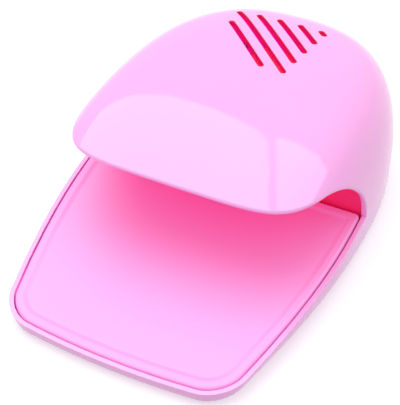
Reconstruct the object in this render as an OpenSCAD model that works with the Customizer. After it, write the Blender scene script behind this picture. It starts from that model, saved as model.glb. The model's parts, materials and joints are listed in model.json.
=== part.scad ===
// Nail dryer: a hand plate in a thin tray, and a fan behind it under a domed hood.
// Pressing the plate closes a switch, and the fan blows forward over the nails.
// Millimetres. The origin lies under the middle of the body, on the surface it
// stands on. +X is right, +Y is towards the back and +Z is up.

/* [Body] */
// Length of the body, from its front edge to its back
body_l = 141.4; // [138:0.2:150]
// Width of the body at its widest place
body_w = 90.6; // [89:0.2:96]
// Height of the crown of the hood above the surface
body_h = 45.8; // [45:0.1:50]
// How far the widest place lies behind the middle of the length
wide_y = 8.1; // [7:0.1:10]
// Fullness of the rounded back in plan, where 2 is an ellipse
back_full = 2.52; // [2.36:0.02:2.8]

/* [Tray] */
// Width of the tray at its front corners
tray_w = 70.4; // [67:0.1:74]
// How far the middle of the front edge bows out past its corners
front_bow = 2.5; // [1:0.1:4]
// Reach of the rounded front corners
corner_r = 8.7; // [7:0.1:12]
// Sideways flare behind the front corners, per millimetre of length
flare = 0.24; // [0.2:0.01:0.28]
// Height of the rim at the front edge
front_z = 5.1; // [5:0.1:6.5]
// Height of the seam between the case and the hood
seam_z = 14.1; // [13.8:0.1:15]
// Height of the rounding under the lower edge
edge_h = 6; // [5:0.1:7]
// Reach of that rounding at the front and the back
edge_in = 1.8; // [1.6:0.1:2.4]
// Reach that it gains along the sides of the tray
edge_tuck = 3.2; // [2:0.1:3.6]
// Wall of the lower case
case_wall = 1.3; // [1.1:0.1:1.6]
// Floor of the lower case
floor_t = 1.6; // [1.4:0.1:1.8]
// Height of the feet below the case
foot_h = 1; // [0.8:0.1:1.4]

/* [Hood] */
// Wall of the hood
hood_wall = 1.6; // [1.3:0.1:2]
// Where the mouth ends, behind the middle of the length
mouth_y = 5.9; // [4.5:0.1:6.2]
// Radius of the arch at each side of the mouth
mouth_r = 22; // [18:0.2:22]
// Height of the lip over the middle of the length
lip_z = 35.4; // [35:0.1:37]
// Rise of the lip towards the front, per millimetre
lip_rise = 0.09; // [0.04:0.01:0.12]
// Where the crown of the hood lies, behind the middle of the length
crown_y = 10; // [7:0.1:12]
// Where the front of the dome would reach the seam, had it no mouth
nose_y = -85.3; // [-88:0.2:-82]
// Fullness of the front of the dome in plan
nose_full = 2.52; // [2.3:0.02:2.8]
// Fullness of the front slope along its run and in its height
front_slope = [7.89, 2.24];
// Fullness of the back slope along its run and in its height
back_slope = [6.84, 1.95];
// Fall of the crown over the first 60 mm towards the front
crown_fall = 14.4; // [12:0.1:17]

/* [Air slots] */
// Number of slots over the fan
slot_count = 6; // [4:1:6]
// Width of a slot
slot_w = 1.6; // [1.2:0.1:2]
// Distance between slots
slot_pitch = 5.05; // [4.6:0.05:5.3]
// Distance of the first slot from the middle, square to the slots
slot_first = 17.6; // [17:0.1:19]
// Row that the slots start from, behind the middle of the length
slot_row_y = 49; // [48:0.1:51]
// Row that they end at, at right angles to it
slot_row_x = 10; // [8:0.1:12]

/* [Hand plate] */
// Gap between the plate and the rim
plate_gap = 0.5; // [0.4:0.05:0.7]
// Thickness of the plate at its border
plate_t = 2; // [1.8:0.1:2.2]
// Width of the raised border
border_w = 2.2; // [1.8:0.1:3]
// Depth of the field inside the border
field_d = 0.4; // [0.3:0.05:0.6]
// Where the back edge of the plate lies, behind the middle of the length
plate_y = 6.7; // [6:0.1:6.9]
// Radius of the back corners of the plate
plate_r = 1.6; // [1.2:0.1:3]
// Distance of the hinge behind the front edge
hinge_in = 16.7; // [14.7:0.5:18.7]
// Angle that the plate swings through when it is pressed
press_deg = 2; // [1:0.1:2]

/* [Inner panel and fan] */
// Front face of the panel that closes the finger space
panel_y = 7.5; // [7.4:0.1:8]
// Thickness of the panel
panel_t = 1.6; // [1.2:0.1:2]
// Gap between the panel and the hood round it
panel_gap = 0.35; // [0.3:0.05:0.6]
// Radius of the fan
fan_r = 13; // [12:0.1:13.2]
// Number of blades
blade_count = 5; // [4:1:7]
// Thickness of a blade
blade_t = 1; // [0.8:0.1:1.2]
// Radius of the motor can
motor_r = 10; // [9.6:0.1:10.2]
// Height of the motor across its flats
motor_flat = 15; // [14:0.1:15.4]
// Length of the motor can without its end cap
motor_l = 20; // [18:0.5:21]

/* [Batteries] */
// Radius of a cell
cell_r = 7.1; // [6.9:0.05:7.15]
// Length of a cell, nub included
cell_l = 50.5; // [49:0.1:50.5]
// Half length of the battery bay
bay_hx = 28; // [28:0.1:28.4]
// Wall of the battery bay
bay_wall = 1.4; // [1.2:0.1:1.6]
// Thickness of the battery cover
cover_t = 1.2; // [1:0.1:1.3]
// Travel of the battery cover
cover_travel = 6; // [4:0.5:6]

/* [Hidden] */
$fn = 48;

// Colours
shell_pink = [0.98, 0.68, 0.92];
deep_pink = [0.95, 0.5, 0.78];
steel = [0.75, 0.76, 0.78];
brass = [0.85, 0.72, 0.4];

// Clearances
slide_gap = 0.25;
seat_gap = 0.15;
pin_gap = 0.06;
thread_gap = 0.02;
eps = 0.01;

// Half width and ends of the body
hw = body_w / 2;
y_front = -body_l / 2;
y_back = body_l / 2;
floor_z = foot_h + floor_t;

// ---- Curves -------------------------------------------------------------

function sgn(a) = a < 0 ? -1 : 1;

function bez(a, b, c, d, t) =
    (1 - t) ^ 3 * a + 3 * t * (1 - t) ^ 2 * b + 3 * t ^ 2 * (1 - t) * c + t ^ 3 * d;

// A closed outline from its right half, which starts and ends at x = 0
function mirrored(h) = concat(h, [for (i = [len(h) - 2:-1:1])
    [for (k = [0:len(h[i]) - 1]) k == 0 ? -h[i][0] : h[i][k]]]);

// The outline drawn in by d along its normals
function inset(p, d) = [for (i = [0:len(p) - 1])
    let (t = p[(i + 1) % len(p)] - p[(i + len(p) - 1) % len(p)])
    p[i] + d * [-t[1], t[0]] / norm(t)];

function at_z(p, z) = [for (q = p) [q[0], q[1], z]];

// Plan of the dome where it meets the seam, drawn in by t, at angle q
function oval(q, t) =
    let (n = sin(q) < 0 ? nose_full : back_full)
    let (b = (sin(q) < 0 ? wide_y - nose_y : y_back - wide_y) - t)
    [(hw - t) * sgn(cos(q)) * abs(cos(q)) ^ (2 / n),
     wide_y + b * sgn(sin(q)) * abs(sin(q)) ^ (2 / n)];

// Height of the rim and of the plate's border over y
rim_slope = (seam_z - front_z) / (mouth_y - y_front);
function rim_z(y) = front_z + rim_slope * (y - y_front);

// Right half of the outline of the tray and the case
tray_hw = tray_w / 2;
corner_pull = 0.55;
side_pull = [0.56, 0.2];
function front_y(x) = y_front + front_bow * (x / tray_hw) ^ 2;
corner_in = [tray_hw - corner_r, front_y(tray_hw - corner_r)];
corner_tip = [tray_hw, front_y(tray_hw)];
side_dir = [flare, 1] / norm([flare, 1]);
corner_out = corner_tip + corner_r * side_dir;
widest = [hw, wide_y];
side_run = wide_y - corner_out[1];
tuck_y = [corner_out[1] - 10, corner_out[1] + 8, -18, wide_y - 2];
back_steps = 18;
case_half = concat(
    [for (i = [0:3]) let (x = corner_in[0] * i / 4) [x, front_y(x)]],
    [for (i = [0:7]) bez(corner_in, corner_in + corner_pull * (corner_tip - corner_in),
        corner_out + corner_pull * (corner_tip - corner_out), corner_out, i / 8)],
    [for (i = [0:8]) bez(corner_out, corner_out + side_pull[0] * side_run * side_dir,
        widest - [0, side_pull[1] * side_run], widest, i / 9)],
    [for (i = [0:back_steps]) oval(i * 90 / back_steps, 0)]);
case_outline = mirrored(case_half);

// Reach of the lower rounding over y
function smooth(t) = let (v = min(max(t, 0), 1)) v * v * (3 - 2 * v);
function edge_reach(y) = edge_in + edge_tuck * smooth((y - tuck_y[0]) / (tuck_y[1] - tuck_y[0]))
    * smooth((tuck_y[3] - y) / (tuck_y[3] - tuck_y[2]));

// The case drawn in by d, and by a share f of what the rounding still reaches past d
function tucked(d, f) = let (p = inset(case_outline, d), q = inset(case_outline, d + 1))
    [for (i = [0:len(p) - 1]) p[i] + (q[i] - p[i]) * f * (edge_reach(case_outline[i][1]) - d)];

// ---- Solids made from rings ---------------------------------------------

// A closed solid through rings of equal length, each counterclockwise when
// seen from the side that the next one lies on. A tip closes the last ring
// in a point, and a tail the first.
module skin(rings, tip = undef, tail = undef) {
    n = len(rings[0]);
    m = len(rings);
    top = (m - 1) * n;
    polyhedron(
        points = concat([for (r = rings) each r], [for (p = [tip, tail]) if (p != undef) p]),
        faces = concat(
            tail == undef ? [[for (j = [0:n - 1]) j]]
                : [for (j = [0:n - 1]) [j, (j + 1) % n, m * n + 1]],
            [for (i = [0:m - 2], j = [0:n - 1]) let (k = (j + 1) % n) each
                [[i * n + j, (i + 1) * n + j, (i + 1) * n + k],
                 [i * n + j, (i + 1) * n + k, i * n + k]]],
            tip == undef ? [[for (j = [n - 1:-1:0]) top + j]]
                : [for (j = [0:n - 1]) [top + j, m * n, top + (j + 1) % n]]));
}

// A tube of radius r along path, whose rings keep to the side vectors
module tube(path, sides, r, n) {
    last = len(path) - 1;
    skin([for (i = [0:last])
        let (run = path[min(i + 1, last)] - path[max(i - 1, 0)])
        let (t = run / norm(run))
        let (u0 = sides[i] - (sides[i] * t) * t)
        let (u = u0 / norm(u0))
        let (v = cross(t, u))
        [for (j = [0:n - 1]) path[i] + r * (cos(j * 360 / n) * u + sin(j * 360 / n) * v)]]);
}

// A round part turned about the fan's axis, with its base at y
module on_axis(y) translate([0, y, fan_z]) rotate([-90, 0, 0]) children();

// A side profile of [y, z] points carried across the width w about x
module across(x, w) translate([x, 0, 0]) rotate([90, 0, 90])
    linear_extrude(w, center = true) children();

module both_sides() {
    children();
    mirror([1, 0, 0]) children();
}

// A box from its lowest and highest corners
module block(a, b) translate(a) cube(b - a);

// ---- The dome of the hood -----------------------------------------------

// Share of the front slope at direction d from the crown
function front_share(d) = let (v = (1 - sin(atan2(d[1], abs(d[0])))) / 2) v * v * (3 - 2 * v);
function slope_of(d) = back_slope + (front_slope - back_slope) * front_share(d);
function crown(y) = body_h - seam_z - crown_fall * (min(y - crown_y, 0) / 60) ^ 2;

// Point of the dome in plan direction q, from the seam at f = 0 to the crown at 90
function dome_point(q, f) =
    let (d = oval(q, 0) - [0, crown_y])
    let (k = slope_of(d))
    let (s = cos(f))
    let (y = crown_y + s * d[1])
    [s * d[0], y, seam_z + crown(y) * (1 - s ^ k[0]) ^ (1 / k[1])];

// The mouth: an arch at each side that runs on into the lip. The edge is rounded
// over half the wall, so the middle of the edge lies that much outside the arch.
edge_round = hood_wall / 2;
arch_r = mouth_r + edge_round;
arch_y = mouth_y - mouth_r;
function lip_at(y) = lip_z + edge_round - lip_rise * y;
function mouth_at(y) = y >= arch_y + arch_r ? 0
    : lip_at(y) - (y > arch_y ? arch_r - sqrt(arch_r ^ 2 - (y - arch_y) ^ 2) : 0);

// Where direction q leaves the mouth, by halving
function mouth_leave(q, low, high, n) = n == 0 ? high
    : let (f = (low + high) / 2)
      let (p = dome_point(q, f))
      p[2] > mouth_at(p[1]) ? mouth_leave(q, low, f, n - 1) : mouth_leave(q, f, high, n - 1);

// Directions of the columns of the dome from the front to the back. They are
// closest where the arch stands up from the seam.
front_cols = 24;
back_cols = 18;
corner_q = -asin(((wide_y - arch_y - arch_r) / (wide_y - nose_y)) ^ (nose_full / 2));
column_q = concat([for (i = [front_cols:-1:0]) corner_q - (90 + corner_q) * (i / front_cols) ^ 2],
    [for (i = [0:back_cols]) i * 90 / back_cols]);
column_f = [for (q = column_q) q < corner_q ? mouth_leave(q, 0, 90, 24) : 0];
hood_rings = 12;
hood_grid = [for (k = [0:hood_rings - 1]) mirrored([for (i = [0:len(column_q) - 1])
    dome_point(column_q[i], column_f[i] + (90 - column_f[i]) * k / hood_rings)])];
hood_tip = [0, crown_y, body_h];
hood_n = len(hood_grid[0]);

// How far each column is along the mouth's edge, from 0 on the seam to 1
edge_ramp = 3;
edge_share = mirrored([for (i = [0:len(column_q) - 1])
    [0, min(max(front_cols - i, 0) / edge_ramp, 1)]]);

// Outward normal and the run round the dome at ring k and column i
function run_at(k, i) = let (r = hood_grid[k]) r[(i + 1) % hood_n] - r[(i + hood_n - 1) % hood_n];
function normal_at(k, i) =
    let (up = (k == hood_rings - 1 ? hood_tip : hood_grid[k + 1][i]) - hood_grid[max(k - 1, 0)][i])
    let (c = cross(run_at(k, i), up))
    let (v = k == 0 && edge_share[i][1] == 0 ? [c[0], c[1], 0] : c)
    v / norm(v);
inner_grid = [for (k = [0:hood_rings - 1]) [for (i = [0:hood_n - 1])
    hood_grid[k][i] - hood_wall * normal_at(k, i)]];

// Ring of the rounded edge at angle a, from 0 inside to 180 outside
function edge_ring(a) = [for (i = [0:hood_n - 1])
    let (c = normal_at(0, i))
    let (d = cross(run_at(0, i), c))
    hood_grid[0][i] - edge_round * (1 + cos(a)) * c
    + edge_round * edge_share[i][1] * sin(a) * d / norm(d)];

module hood_shell() skin(
    concat([for (k = [hood_rings - 1:-1:0]) inner_grid[k]],
        [for (a = [45, 90, 135]) edge_ring(a)], hood_grid),
    tip = hood_tip, tail = hood_tip - [0, 0, hood_wall]);

// A solid dome half a wall inside the hood, which trims what grows from it
module dome_core() skin([for (k = [0:8]) [for (i = [0:35])
    let (p = dome_point(i * 10 - 90, 10 * k))
    let (g = 1 - hood_wall / 2 / hw)
    [g * p[0], crown_y + g * (p[1] - crown_y), p[2] - hood_wall / 2 * (k / 8) - eps * (k == 0 ? 1 : 0)]]],
    tip = hood_tip - [0, 0, hood_wall / 2]);

// Slots run forward to the right, so place along a slot is (x - y) / sqrt(2)
// and place across the slots is (x + y) / sqrt(2)
first_trim = 1.5;
row_lean = 0.12;
row_from_y = 22.6;
function slot_across(i) = slot_first + i * slot_pitch;
function slot_start(i) = slot_across(i) - sqrt(2) * slot_row_y;
function slot_end(i) = (sqrt(2) * (slot_row_x - row_lean * row_from_y)
    - (1 - row_lean) * slot_across(i)) / (1 + row_lean);
function slot_span(i) = i == 0
    ? [slot_start(2) + first_trim, slot_end(2) - first_trim]
    : [slot_start(i), slot_end(i)];
function slot_xy(along, far) = [(far + along) / sqrt(2), (far - along) / sqrt(2)];

// ---- Battery bay --------------------------------------------------------

cell_gap = 0.4;
cell_pitch = 2 * cell_r + 0.8;
bay_y = 22.4;
cell_y = [bay_y + cell_gap + cell_r, bay_y + cell_gap + cell_r + cell_pitch];
bay_end_y = cell_y[1] + cell_r + cell_gap;
cell_z = foot_h + cover_t + 0.3 + cell_r;
bay_ceiling = cell_z + cell_r + cell_gap;
bay_top = bay_ceiling + 1.2;
pad_z = floor_z + 0.8;
pad_hx = bay_hx + 2.2;
pad_y = [13.2, bay_end_y + 4.3];
ledge = 1.5;
pocket_z = foot_h + cover_t + 0.1;
tongue_x = 10;
tongue_w = 8;
tongue_l = 2.5;
tongue_t = 0.5;
contact_t = 0.4;
contact_hw = 5.5;
tail_w = 3;
tail_z = bay_top + 2.4;
nub_l = 1;
nub_r = 2.75;

// ---- Fan and motor ------------------------------------------------------

cradle_h = 1.7;
fan_z = bay_top + cradle_h + motor_flat / 2;
shroud_gap = 0.8;
shroud_t = 1.2;
shroud_end = 19.8;
hub_y = 12;
hub_l = 6;
hub_r = 4.2;
shaft_r = 1;
motor_y = 20.4;
cradle_y = [motor_y + 4.6, motor_y + 15.6];
nose_r = 3;
nose_l = 1.4;
cap_l = 5;
motor_end = motor_y + motor_l + cap_l;
terminal_x = 5;
terminal_l = 4;

// Screws: shank radius, head radius and head height
screw_r = 1.1;
head_r = 2.4;
head_h = 1.7;
clamp_t = 1.2;
clamp_y = motor_y + 10.6;
clamp_w = 8;
clamp_grip = 0.2;
clamp_span = [motor_y + 0.2, motor_end - 0.4];
clamp_screw_l = 7;
post_r = 3;
clamp_x = motor_r + clamp_grip + clamp_t + post_r + 0.2;
clamp_z = fan_z - 1.5;
lug_x = 26;
lug_y = 14.5;
lug_z = 12;
lug_t = 2;
lug_screw_l = 8;
side_boss = [37.5, 19];
rear_boss = [20, y_back - 9.7];
boss_r = 3.4;
hood_boss_r = 3;
boss_z = seam_z + 1.6;
shoulder_z = 11;
thread_l = 9;

// ---- Plate, hinge, springs and switch -----------------------------------

plate_under = plate_t - 0.3;
pin_r = 0.7;
hinge_y = y_front + hinge_in;
hinge_z = floor_z + 1.55;
ear_r = 1.3;
ear_w = 2.5;
knuckle_w = 6;
knuckle_x = 24;
pin_l = knuckle_w + 2 * (ear_w + slide_gap);
relief_d = 0.7;
spring_xy = [22, -8];
spring_wire_r = 0.35;
spring_r = 3;
spring_turns = 4;
spring_seat_z = floor_z + 7.6;
peg_r = 2.2;
switch_y = -2;
switch_size = [12, 6.4, 5.8];
switch_rib = 1.2;
button_r = 1.9;
button_out = 2.4;
button_in = (switch_y - hinge_y) * sin(press_deg) + 0.4;
switch_top = floor_z + switch_size[2] + button_out;
tab_z = floor_z + 0.8;
switch_tab = switch_size[0] / 2 + 3;
hook_x = 36;
hook_w = 4;
ledge_z = 8.6;
ledge_t = 1.2;
hook_y = [3.6, 5.2];
toe_y = plate_y + 0.1;
foot_r = 3.2;
foot_sink = 0.6;
foot_at = [[26, y_front + 13.7], [33.6, y_back - 29.7]];

// ---- Lower case ---------------------------------------------------------

module case_shell() {
    inner_h = edge_h + foot_h - floor_z;
    difference() {
        skin(concat(
            [for (f = [0:18:90]) at_z(tucked(0, 1 - sin(f)), foot_h + edge_h * (1 - cos(f)))],
            [at_z(case_outline, seam_z)]));
        skin(concat(
            [for (f = [0:22.5:90]) at_z(tucked(case_wall, 1 - sin(f)), floor_z + inner_h * (1 - cos(f)))],
            [at_z(inset(case_outline, case_wall), seam_z + 1)]));
    }
}

// A shelf inside the wall, and on it the lip that the hood drops over
module seam_lip() {
    lip_in = hood_wall + 0.15;
    lip_t = 1;
    intersection() {
        union() {
            translate([0, 0, seam_z - 3]) linear_extrude(3) difference() {
                polygon(inset(case_outline, case_wall / 2));
                polygon(inset(case_outline, lip_in + lip_t));
            }
            translate([0, 0, seam_z - 1]) linear_extrude(2.5) difference() {
                polygon(inset(case_outline, lip_in));
                polygon(inset(case_outline, lip_in + lip_t));
            }
        }
        block([-hw, panel_y + panel_t + 1.3, 0], [hw, y_back, seam_z + 2]);
    }
}

module boss_column(p) translate([p[0], p[1], floor_z - 0.8])
    cylinder(h = boss_z - floor_z + 0.8, r = boss_r);

module boss_bore(p) translate([p[0], p[1], 0]) {
    translate([0, 0, foot_h - 1]) cylinder(h = shoulder_z - foot_h + 1, r = head_r + 0.3);
    cylinder(h = boss_z + 1, r = screw_r + 0.2);
}

module hinge_ear(x) across(x, ear_w) {
    translate([hinge_y, hinge_z]) circle(ear_r);
    translate([hinge_y - ear_r, floor_z - 0.5]) square([2 * ear_r, hinge_z - floor_z + 0.5]);
}

module case_inside() {
    block([-pad_hx, pad_y[0], floor_z - 0.5], [pad_hx, pad_y[1], pad_z]);
    block([-bay_hx - bay_wall, bay_y - bay_wall, floor_z], [bay_hx + bay_wall, bay_end_y + bay_wall, bay_top]);
    for (y = cradle_y) block([-8, y - 1, bay_top - 0.5], [8, y + 1, fan_z - motor_flat / 2]);
    for (s = [-1, 1]) let (y = switch_y + s * (switch_size[1] + switch_rib) / 2)
        block([-4.5, y - switch_rib / 2, floor_z - 0.5], [4.5, y + switch_rib / 2, floor_z + 3]);
    both_sides() {
        boss_column(side_boss);
        boss_column(rear_boss);
        translate([lug_x, lug_y, floor_z]) cylinder(h = lug_z - floor_z, r = post_r);
        translate([clamp_x, clamp_y, bay_top - 0.5]) cylinder(h = clamp_z - bay_top + 0.5, r = post_r);
        for (s = [-1, 1]) hinge_ear(knuckle_x + s * (knuckle_w / 2 + slide_gap + ear_w / 2));
        translate([spring_xy[0], spring_xy[1], floor_z - 0.5]) cylinder(h = 2.5, r = peg_r);
        block([11.4, -46, floor_z - 0.5], [12.6, -12, floor_z + 2.2]);
    }
}

module lower_case() {
    color(shell_pink) difference() {
        union() {
            case_shell();
            seam_lip();
            case_inside();
        }
        block([-bay_hx, bay_y, 0], [bay_hx, bay_end_y, bay_ceiling]);
        block([-bay_hx - ledge - slide_gap, bay_y - ledge - slide_gap - cover_travel, 0],
            [bay_hx + ledge + slide_gap, bay_end_y + ledge + slide_gap, pocket_z]);
        for (s = [-1, 1]) block(
            [s * tongue_x - tongue_w / 2 - slide_gap, bay_end_y, pocket_z - tongue_t - slide_gap],
            [s * tongue_x + tongue_w / 2 + slide_gap, bay_end_y + ledge + tongue_l + 0.5, pocket_z]);
        for (y = cell_y) both_sides() block(
            [bay_hx - contact_t - 0.1, y - tail_w / 2 - 0.1, bay_ceiling - 1],
            [bay_hx + 0.1, y + tail_w / 2 + 0.1, bay_top + 1]);
        both_sides() {
            boss_bore(side_boss);
            boss_bore(rear_boss);
            translate([lug_x, lug_y, lug_z - 7]) cylinder(h = 8, r = screw_r + thread_gap);
            translate([clamp_x, clamp_y, clamp_z - 7]) cylinder(h = 8, r = screw_r + thread_gap);
            across(knuckle_x, 2 * pin_l) translate([hinge_y, hinge_z]) circle(pin_r + thread_gap);
            for (p = foot_at) translate([p[0], p[1], 0]) cylinder(h = foot_h + foot_sink, r = foot_r + 0.1);
        }
        across(0, body_w + 10) polygon([[y_front - 5, rim_z(y_front - 5)], [mouth_y, seam_z],
            [mouth_y, seam_z + 5], [y_front - 5, seam_z + 5]]);
    }
}

// ---- Hood ---------------------------------------------------------------

module hood_boss(p, toward) {
    translate([p[0], p[1], boss_z]) cylinder(h = body_h, r = hood_boss_r, $fn = 24);
    hull() {
        translate([p[0], p[1], boss_z + 2]) cylinder(h = body_h, r = 0.7, $fn = 8);
        translate([toward[0], toward[1], boss_z + 2]) cylinder(h = body_h, r = 0.7, $fn = 8);
    }
}

module air_slots() {
    for (i = [0:slot_count - 1]) let (s = slot_span(i)) hull()
        for (along = s) let (p = slot_xy(along, slot_across(i)))
            translate([p[0], p[1], body_h - 12]) cylinder(h = 20, r = slot_w / 2, $fn = 32);
}

module upper_hood() {
    color(shell_pink) difference() {
        union() {
            hood_shell();
            intersection() {
                both_sides() {
                    hood_boss(side_boss, [hw, side_boss[1]]);
                    hood_boss(rear_boss, [rear_boss[0] + 5, y_back]);
                }
                dome_core();
            }
        }
        air_slots();
        both_sides() for (p = [side_boss, rear_boss])
            translate([p[0], p[1], boss_z - 1]) cylinder(h = thread_l + 1.5, r = screw_r + 0.1, $fn = 24);
    }
}

// ---- Inner panel --------------------------------------------------------

// Outline of the panel inside the dome at its own y, in [x, z]
panel_steps = 14;
panel_foot = 1.5;
panel_hw = hw - hood_wall - panel_gap;
panel_section = let (k = (front_slope + back_slope) / 2)
    [for (i = [0:2 * panel_steps]) let (a = i * 90 / panel_steps)
        [hw * sgn(cos(a)) * abs(cos(a)) ^ (2 / k[0]), seam_z + crown(panel_y) * sin(a) ^ (2 / k[1])]];
panel_arch = inset(concat([[hw, floor_z]], panel_section, [[-hw, floor_z]]), hood_wall + panel_gap);
panel_outline = concat([[-panel_hw, floor_z + panel_foot], [panel_foot - panel_hw, floor_z],
    [panel_hw - panel_foot, floor_z], [panel_hw, floor_z + panel_foot]],
    [for (i = [1:len(panel_arch) - 2]) panel_arch[i]]);

module panel_sheet() difference() {
    polygon(panel_outline);
    translate([0, fan_z]) difference() {
        circle(fan_r);
        circle(hub_r + 0.6);
        difference() {
            circle(9.9);
            circle(8.7);
        }
        for (i = [0:7]) rotate(i * 45 + 22.5) translate([0, -0.6]) square([fan_r + 1, 1.2]);
    }
    for (s = [-1, 1]) translate([s * (lug_x + post_r + 2.5) - 1.6, floor_z - 1]) square([3.2, 4.4]);
}

module inner_panel() {
    color(deep_pink) difference() {
        union() {
            translate([0, panel_y + panel_t, 0]) rotate([90, 0, 0]) linear_extrude(panel_t) panel_sheet();
            on_axis(panel_y + panel_t / 2) linear_extrude(shroud_end - panel_y - panel_t / 2) difference() {
                circle(fan_r + shroud_gap + shroud_t);
                circle(fan_r + shroud_gap);
            }
            both_sides() {
                block([lug_x - 3.5, panel_y + panel_t / 2, lug_z], [lug_x + 3.5, lug_y + 3, lug_z + lug_t]);
                block([hook_x - hook_w, plate_y - 0.6, ledge_z], [hook_x + hook_w, panel_y + 0.5, ledge_z + ledge_t]);
            }
        }
        both_sides() translate([lug_x, lug_y, lug_z - 1]) cylinder(h = lug_t + 2, r = screw_r + 0.3);
    }
}

// ---- Hand plate ---------------------------------------------------------

plate_half = let (h = inset(case_outline, case_wall + plate_gap))
    let (side = [for (i = [0:len(case_half) - 1]) h[i]])
    let (x = lookup(plate_y - plate_r, [for (q = side) [q[1], q[0]]]))
    concat([for (q = side) if (q[1] < plate_y - plate_r - 1) q],
        [for (a = [0:15:90]) [x - plate_r * (1 - cos(a)), plate_y - plate_r * (1 - sin(a))]],
        [[0, plate_y]]);
plate_outline = mirrored(plate_half);

function plate_ring(d, h) = [for (q = inset(plate_outline, d)) [q[0], q[1], rim_z(q[1]) + h]];
border_h = 0.3;
round_r = 0.8;

under_cut = 0.5;

module plate_sheet() {
    skin(concat(
        [plate_ring(under_cut, -plate_under), plate_ring(0, under_cut - plate_under)],
        [for (f = [0:30:90]) plate_ring(round_r * (1 - cos(f)), border_h - round_r * (1 - sin(f)))],
        [for (f = [0:45:180]) let (w = 1.5)
            plate_ring(border_w + w * f / 180, border_h - field_d * (1 - cos(f)) / 2)]));
}

module hand_plate() {
    color(shell_pink) difference() {
        union() {
            difference() {
                plate_sheet();
                both_sides() block([knuckle_x - pin_l / 2 - 0.5, hinge_y - 2.4, 0],
                    [knuckle_x + pin_l / 2 + 0.5, hinge_y + 2.4, rim_z(hinge_y) - plate_under + relief_d]);
            }
            both_sides() {
                across(knuckle_x, knuckle_w) {
                    translate([hinge_y, hinge_z]) circle(ear_r);
                    translate([hinge_y - ear_r, hinge_z]) square([2 * ear_r, rim_z(hinge_y) - 0.9 - hinge_z]);
                }
                translate([spring_xy[0], spring_xy[1], spring_seat_z])
                    cylinder(h = rim_z(spring_xy[1]) - 1 - spring_seat_z, r = spring_r + 1.4);
                translate([spring_xy[0], spring_xy[1], spring_seat_z - 1.6]) cylinder(h = 2, r = peg_r);
                block([hook_x - hook_w / 2, hook_y[0], ledge_z - 1.5], [hook_x + hook_w / 2, hook_y[1], rim_z(hook_y[0]) - 1]);
                block([hook_x - hook_w / 2, hook_y[0], ledge_z - 1.5], [hook_x + hook_w / 2, toe_y, ledge_z - 0.3]);
            }
            translate([0, switch_y, switch_top + 0.3]) cylinder(h = rim_z(switch_y) - 1 - switch_top - 0.3, r = 2.6);
        }
        across(0, 4 * knuckle_x) translate([hinge_y, hinge_z]) circle(pin_r + pin_gap);
    }
}

module hinge_pins() {
    color(steel) for (s = [-1, 1]) across(s * knuckle_x, pin_l) translate([hinge_y, hinge_z]) circle(pin_r);
}

// ---- Springs ------------------------------------------------------------

// Centre line of a coil from z0 to z1 about the z axis, whose radius goes from
// r0 to r1, with straight ends as long as the wire is thick
function coil_path(turns, r0, r1, z0, z1, wire) =
    let (n = 8 * turns)
    let (a = z0 + 3 * wire)
    let (b = z1 - 3 * wire)
    concat([[r0, 0, z0]],
        [for (i = [0:n]) let (r = r0 + (r1 - r0) * i / n)
            [r * cos(45 * i), r * sin(45 * i), a + (b - a) * i / n]],
        [[r1 * cos(45 * n), r1 * sin(45 * n), z1]]);
function coil_sides(path) = [for (p = path) [p[0], p[1], 0]];
function coil_gap(path, wire) = min([for (i = [0:len(path) - 1], j = [i + 5:1:len(path) - 1])
    norm(path[i] - path[j])]) - 2 * wire;

return_path = coil_path(spring_turns, spring_r, spring_r,
    floor_z + seat_gap, spring_seat_z - seat_gap, spring_wire_r);
cell_spring_l = 2 * bay_hx - 2 * contact_t - 0.1 - cell_l;
cell_wire_r = 0.3;
cell_path = coil_path(3, 4.2, 2.2, seat_gap, cell_spring_l - seat_gap, cell_wire_r);
echo(return_spring_gap = coil_gap(return_path, spring_wire_r));
echo(battery_spring_gap = coil_gap(cell_path, cell_wire_r));

module return_spring() color(steel) translate([spring_xy[0], spring_xy[1], 0])
    tube(return_path, coil_sides(return_path), spring_wire_r, 6);

module return_spring_right() return_spring();

module return_spring_left() translate([-2 * spring_xy[0], 0, 0]) return_spring();

module battery_springs() {
    color(steel) for (i = [0, 1]) translate([(i == 0 ? -1 : 1) * (bay_hx - contact_t), cell_y[i], cell_z])
        rotate([0, i == 0 ? 90 : -90, 0]) tube(cell_path, coil_sides(cell_path), cell_wire_r, 6);
}

// ---- Switch -------------------------------------------------------------

module switch_body() {
    color([0.15, 0.15, 0.17]) difference() {
        block([-switch_size[0] / 2, switch_y - switch_size[1] / 2, floor_z],
            [switch_size[0] / 2, switch_y + switch_size[1] / 2, floor_z + switch_size[2]]);
        translate([0, switch_y, switch_top - button_out - button_in - 2])
            cylinder(h = button_out + button_in + 3, r = button_r + pin_gap);
    }
}

module switch_button() {
    color([0.85, 0.2, 0.2]) translate([0, switch_y, switch_top - button_out - button_in]) {
        cylinder(h = button_out + button_in - 0.4, r = button_r);
        translate([0, 0, button_out + button_in - 0.4]) cylinder(h = 0.4, r1 = button_r, r2 = button_r - 0.4);
    }
}

module switch_terminals() {
    color(brass) both_sides() block([switch_size[0] / 2, switch_y - 1.2, tab_z],
        [switch_tab, switch_y + 1.2, tab_z + 0.4]);
}

// ---- Motor and fan ------------------------------------------------------

module motor_section(grow) intersection() {
    circle(motor_r + grow);
    square([3 * motor_r, motor_flat + 2 * grow], center = true);
}

module motor_can() {
    color(steel) difference() {
        union() {
            on_axis(motor_y) linear_extrude(motor_l) motor_section(0);
            on_axis(motor_y - nose_l) cylinder(h = nose_l + 1, r = nose_r);
        }
        on_axis(motor_y - nose_l - 1) cylinder(h = motor_l + nose_l + 2, r = shaft_r + pin_gap);
    }
}

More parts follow.
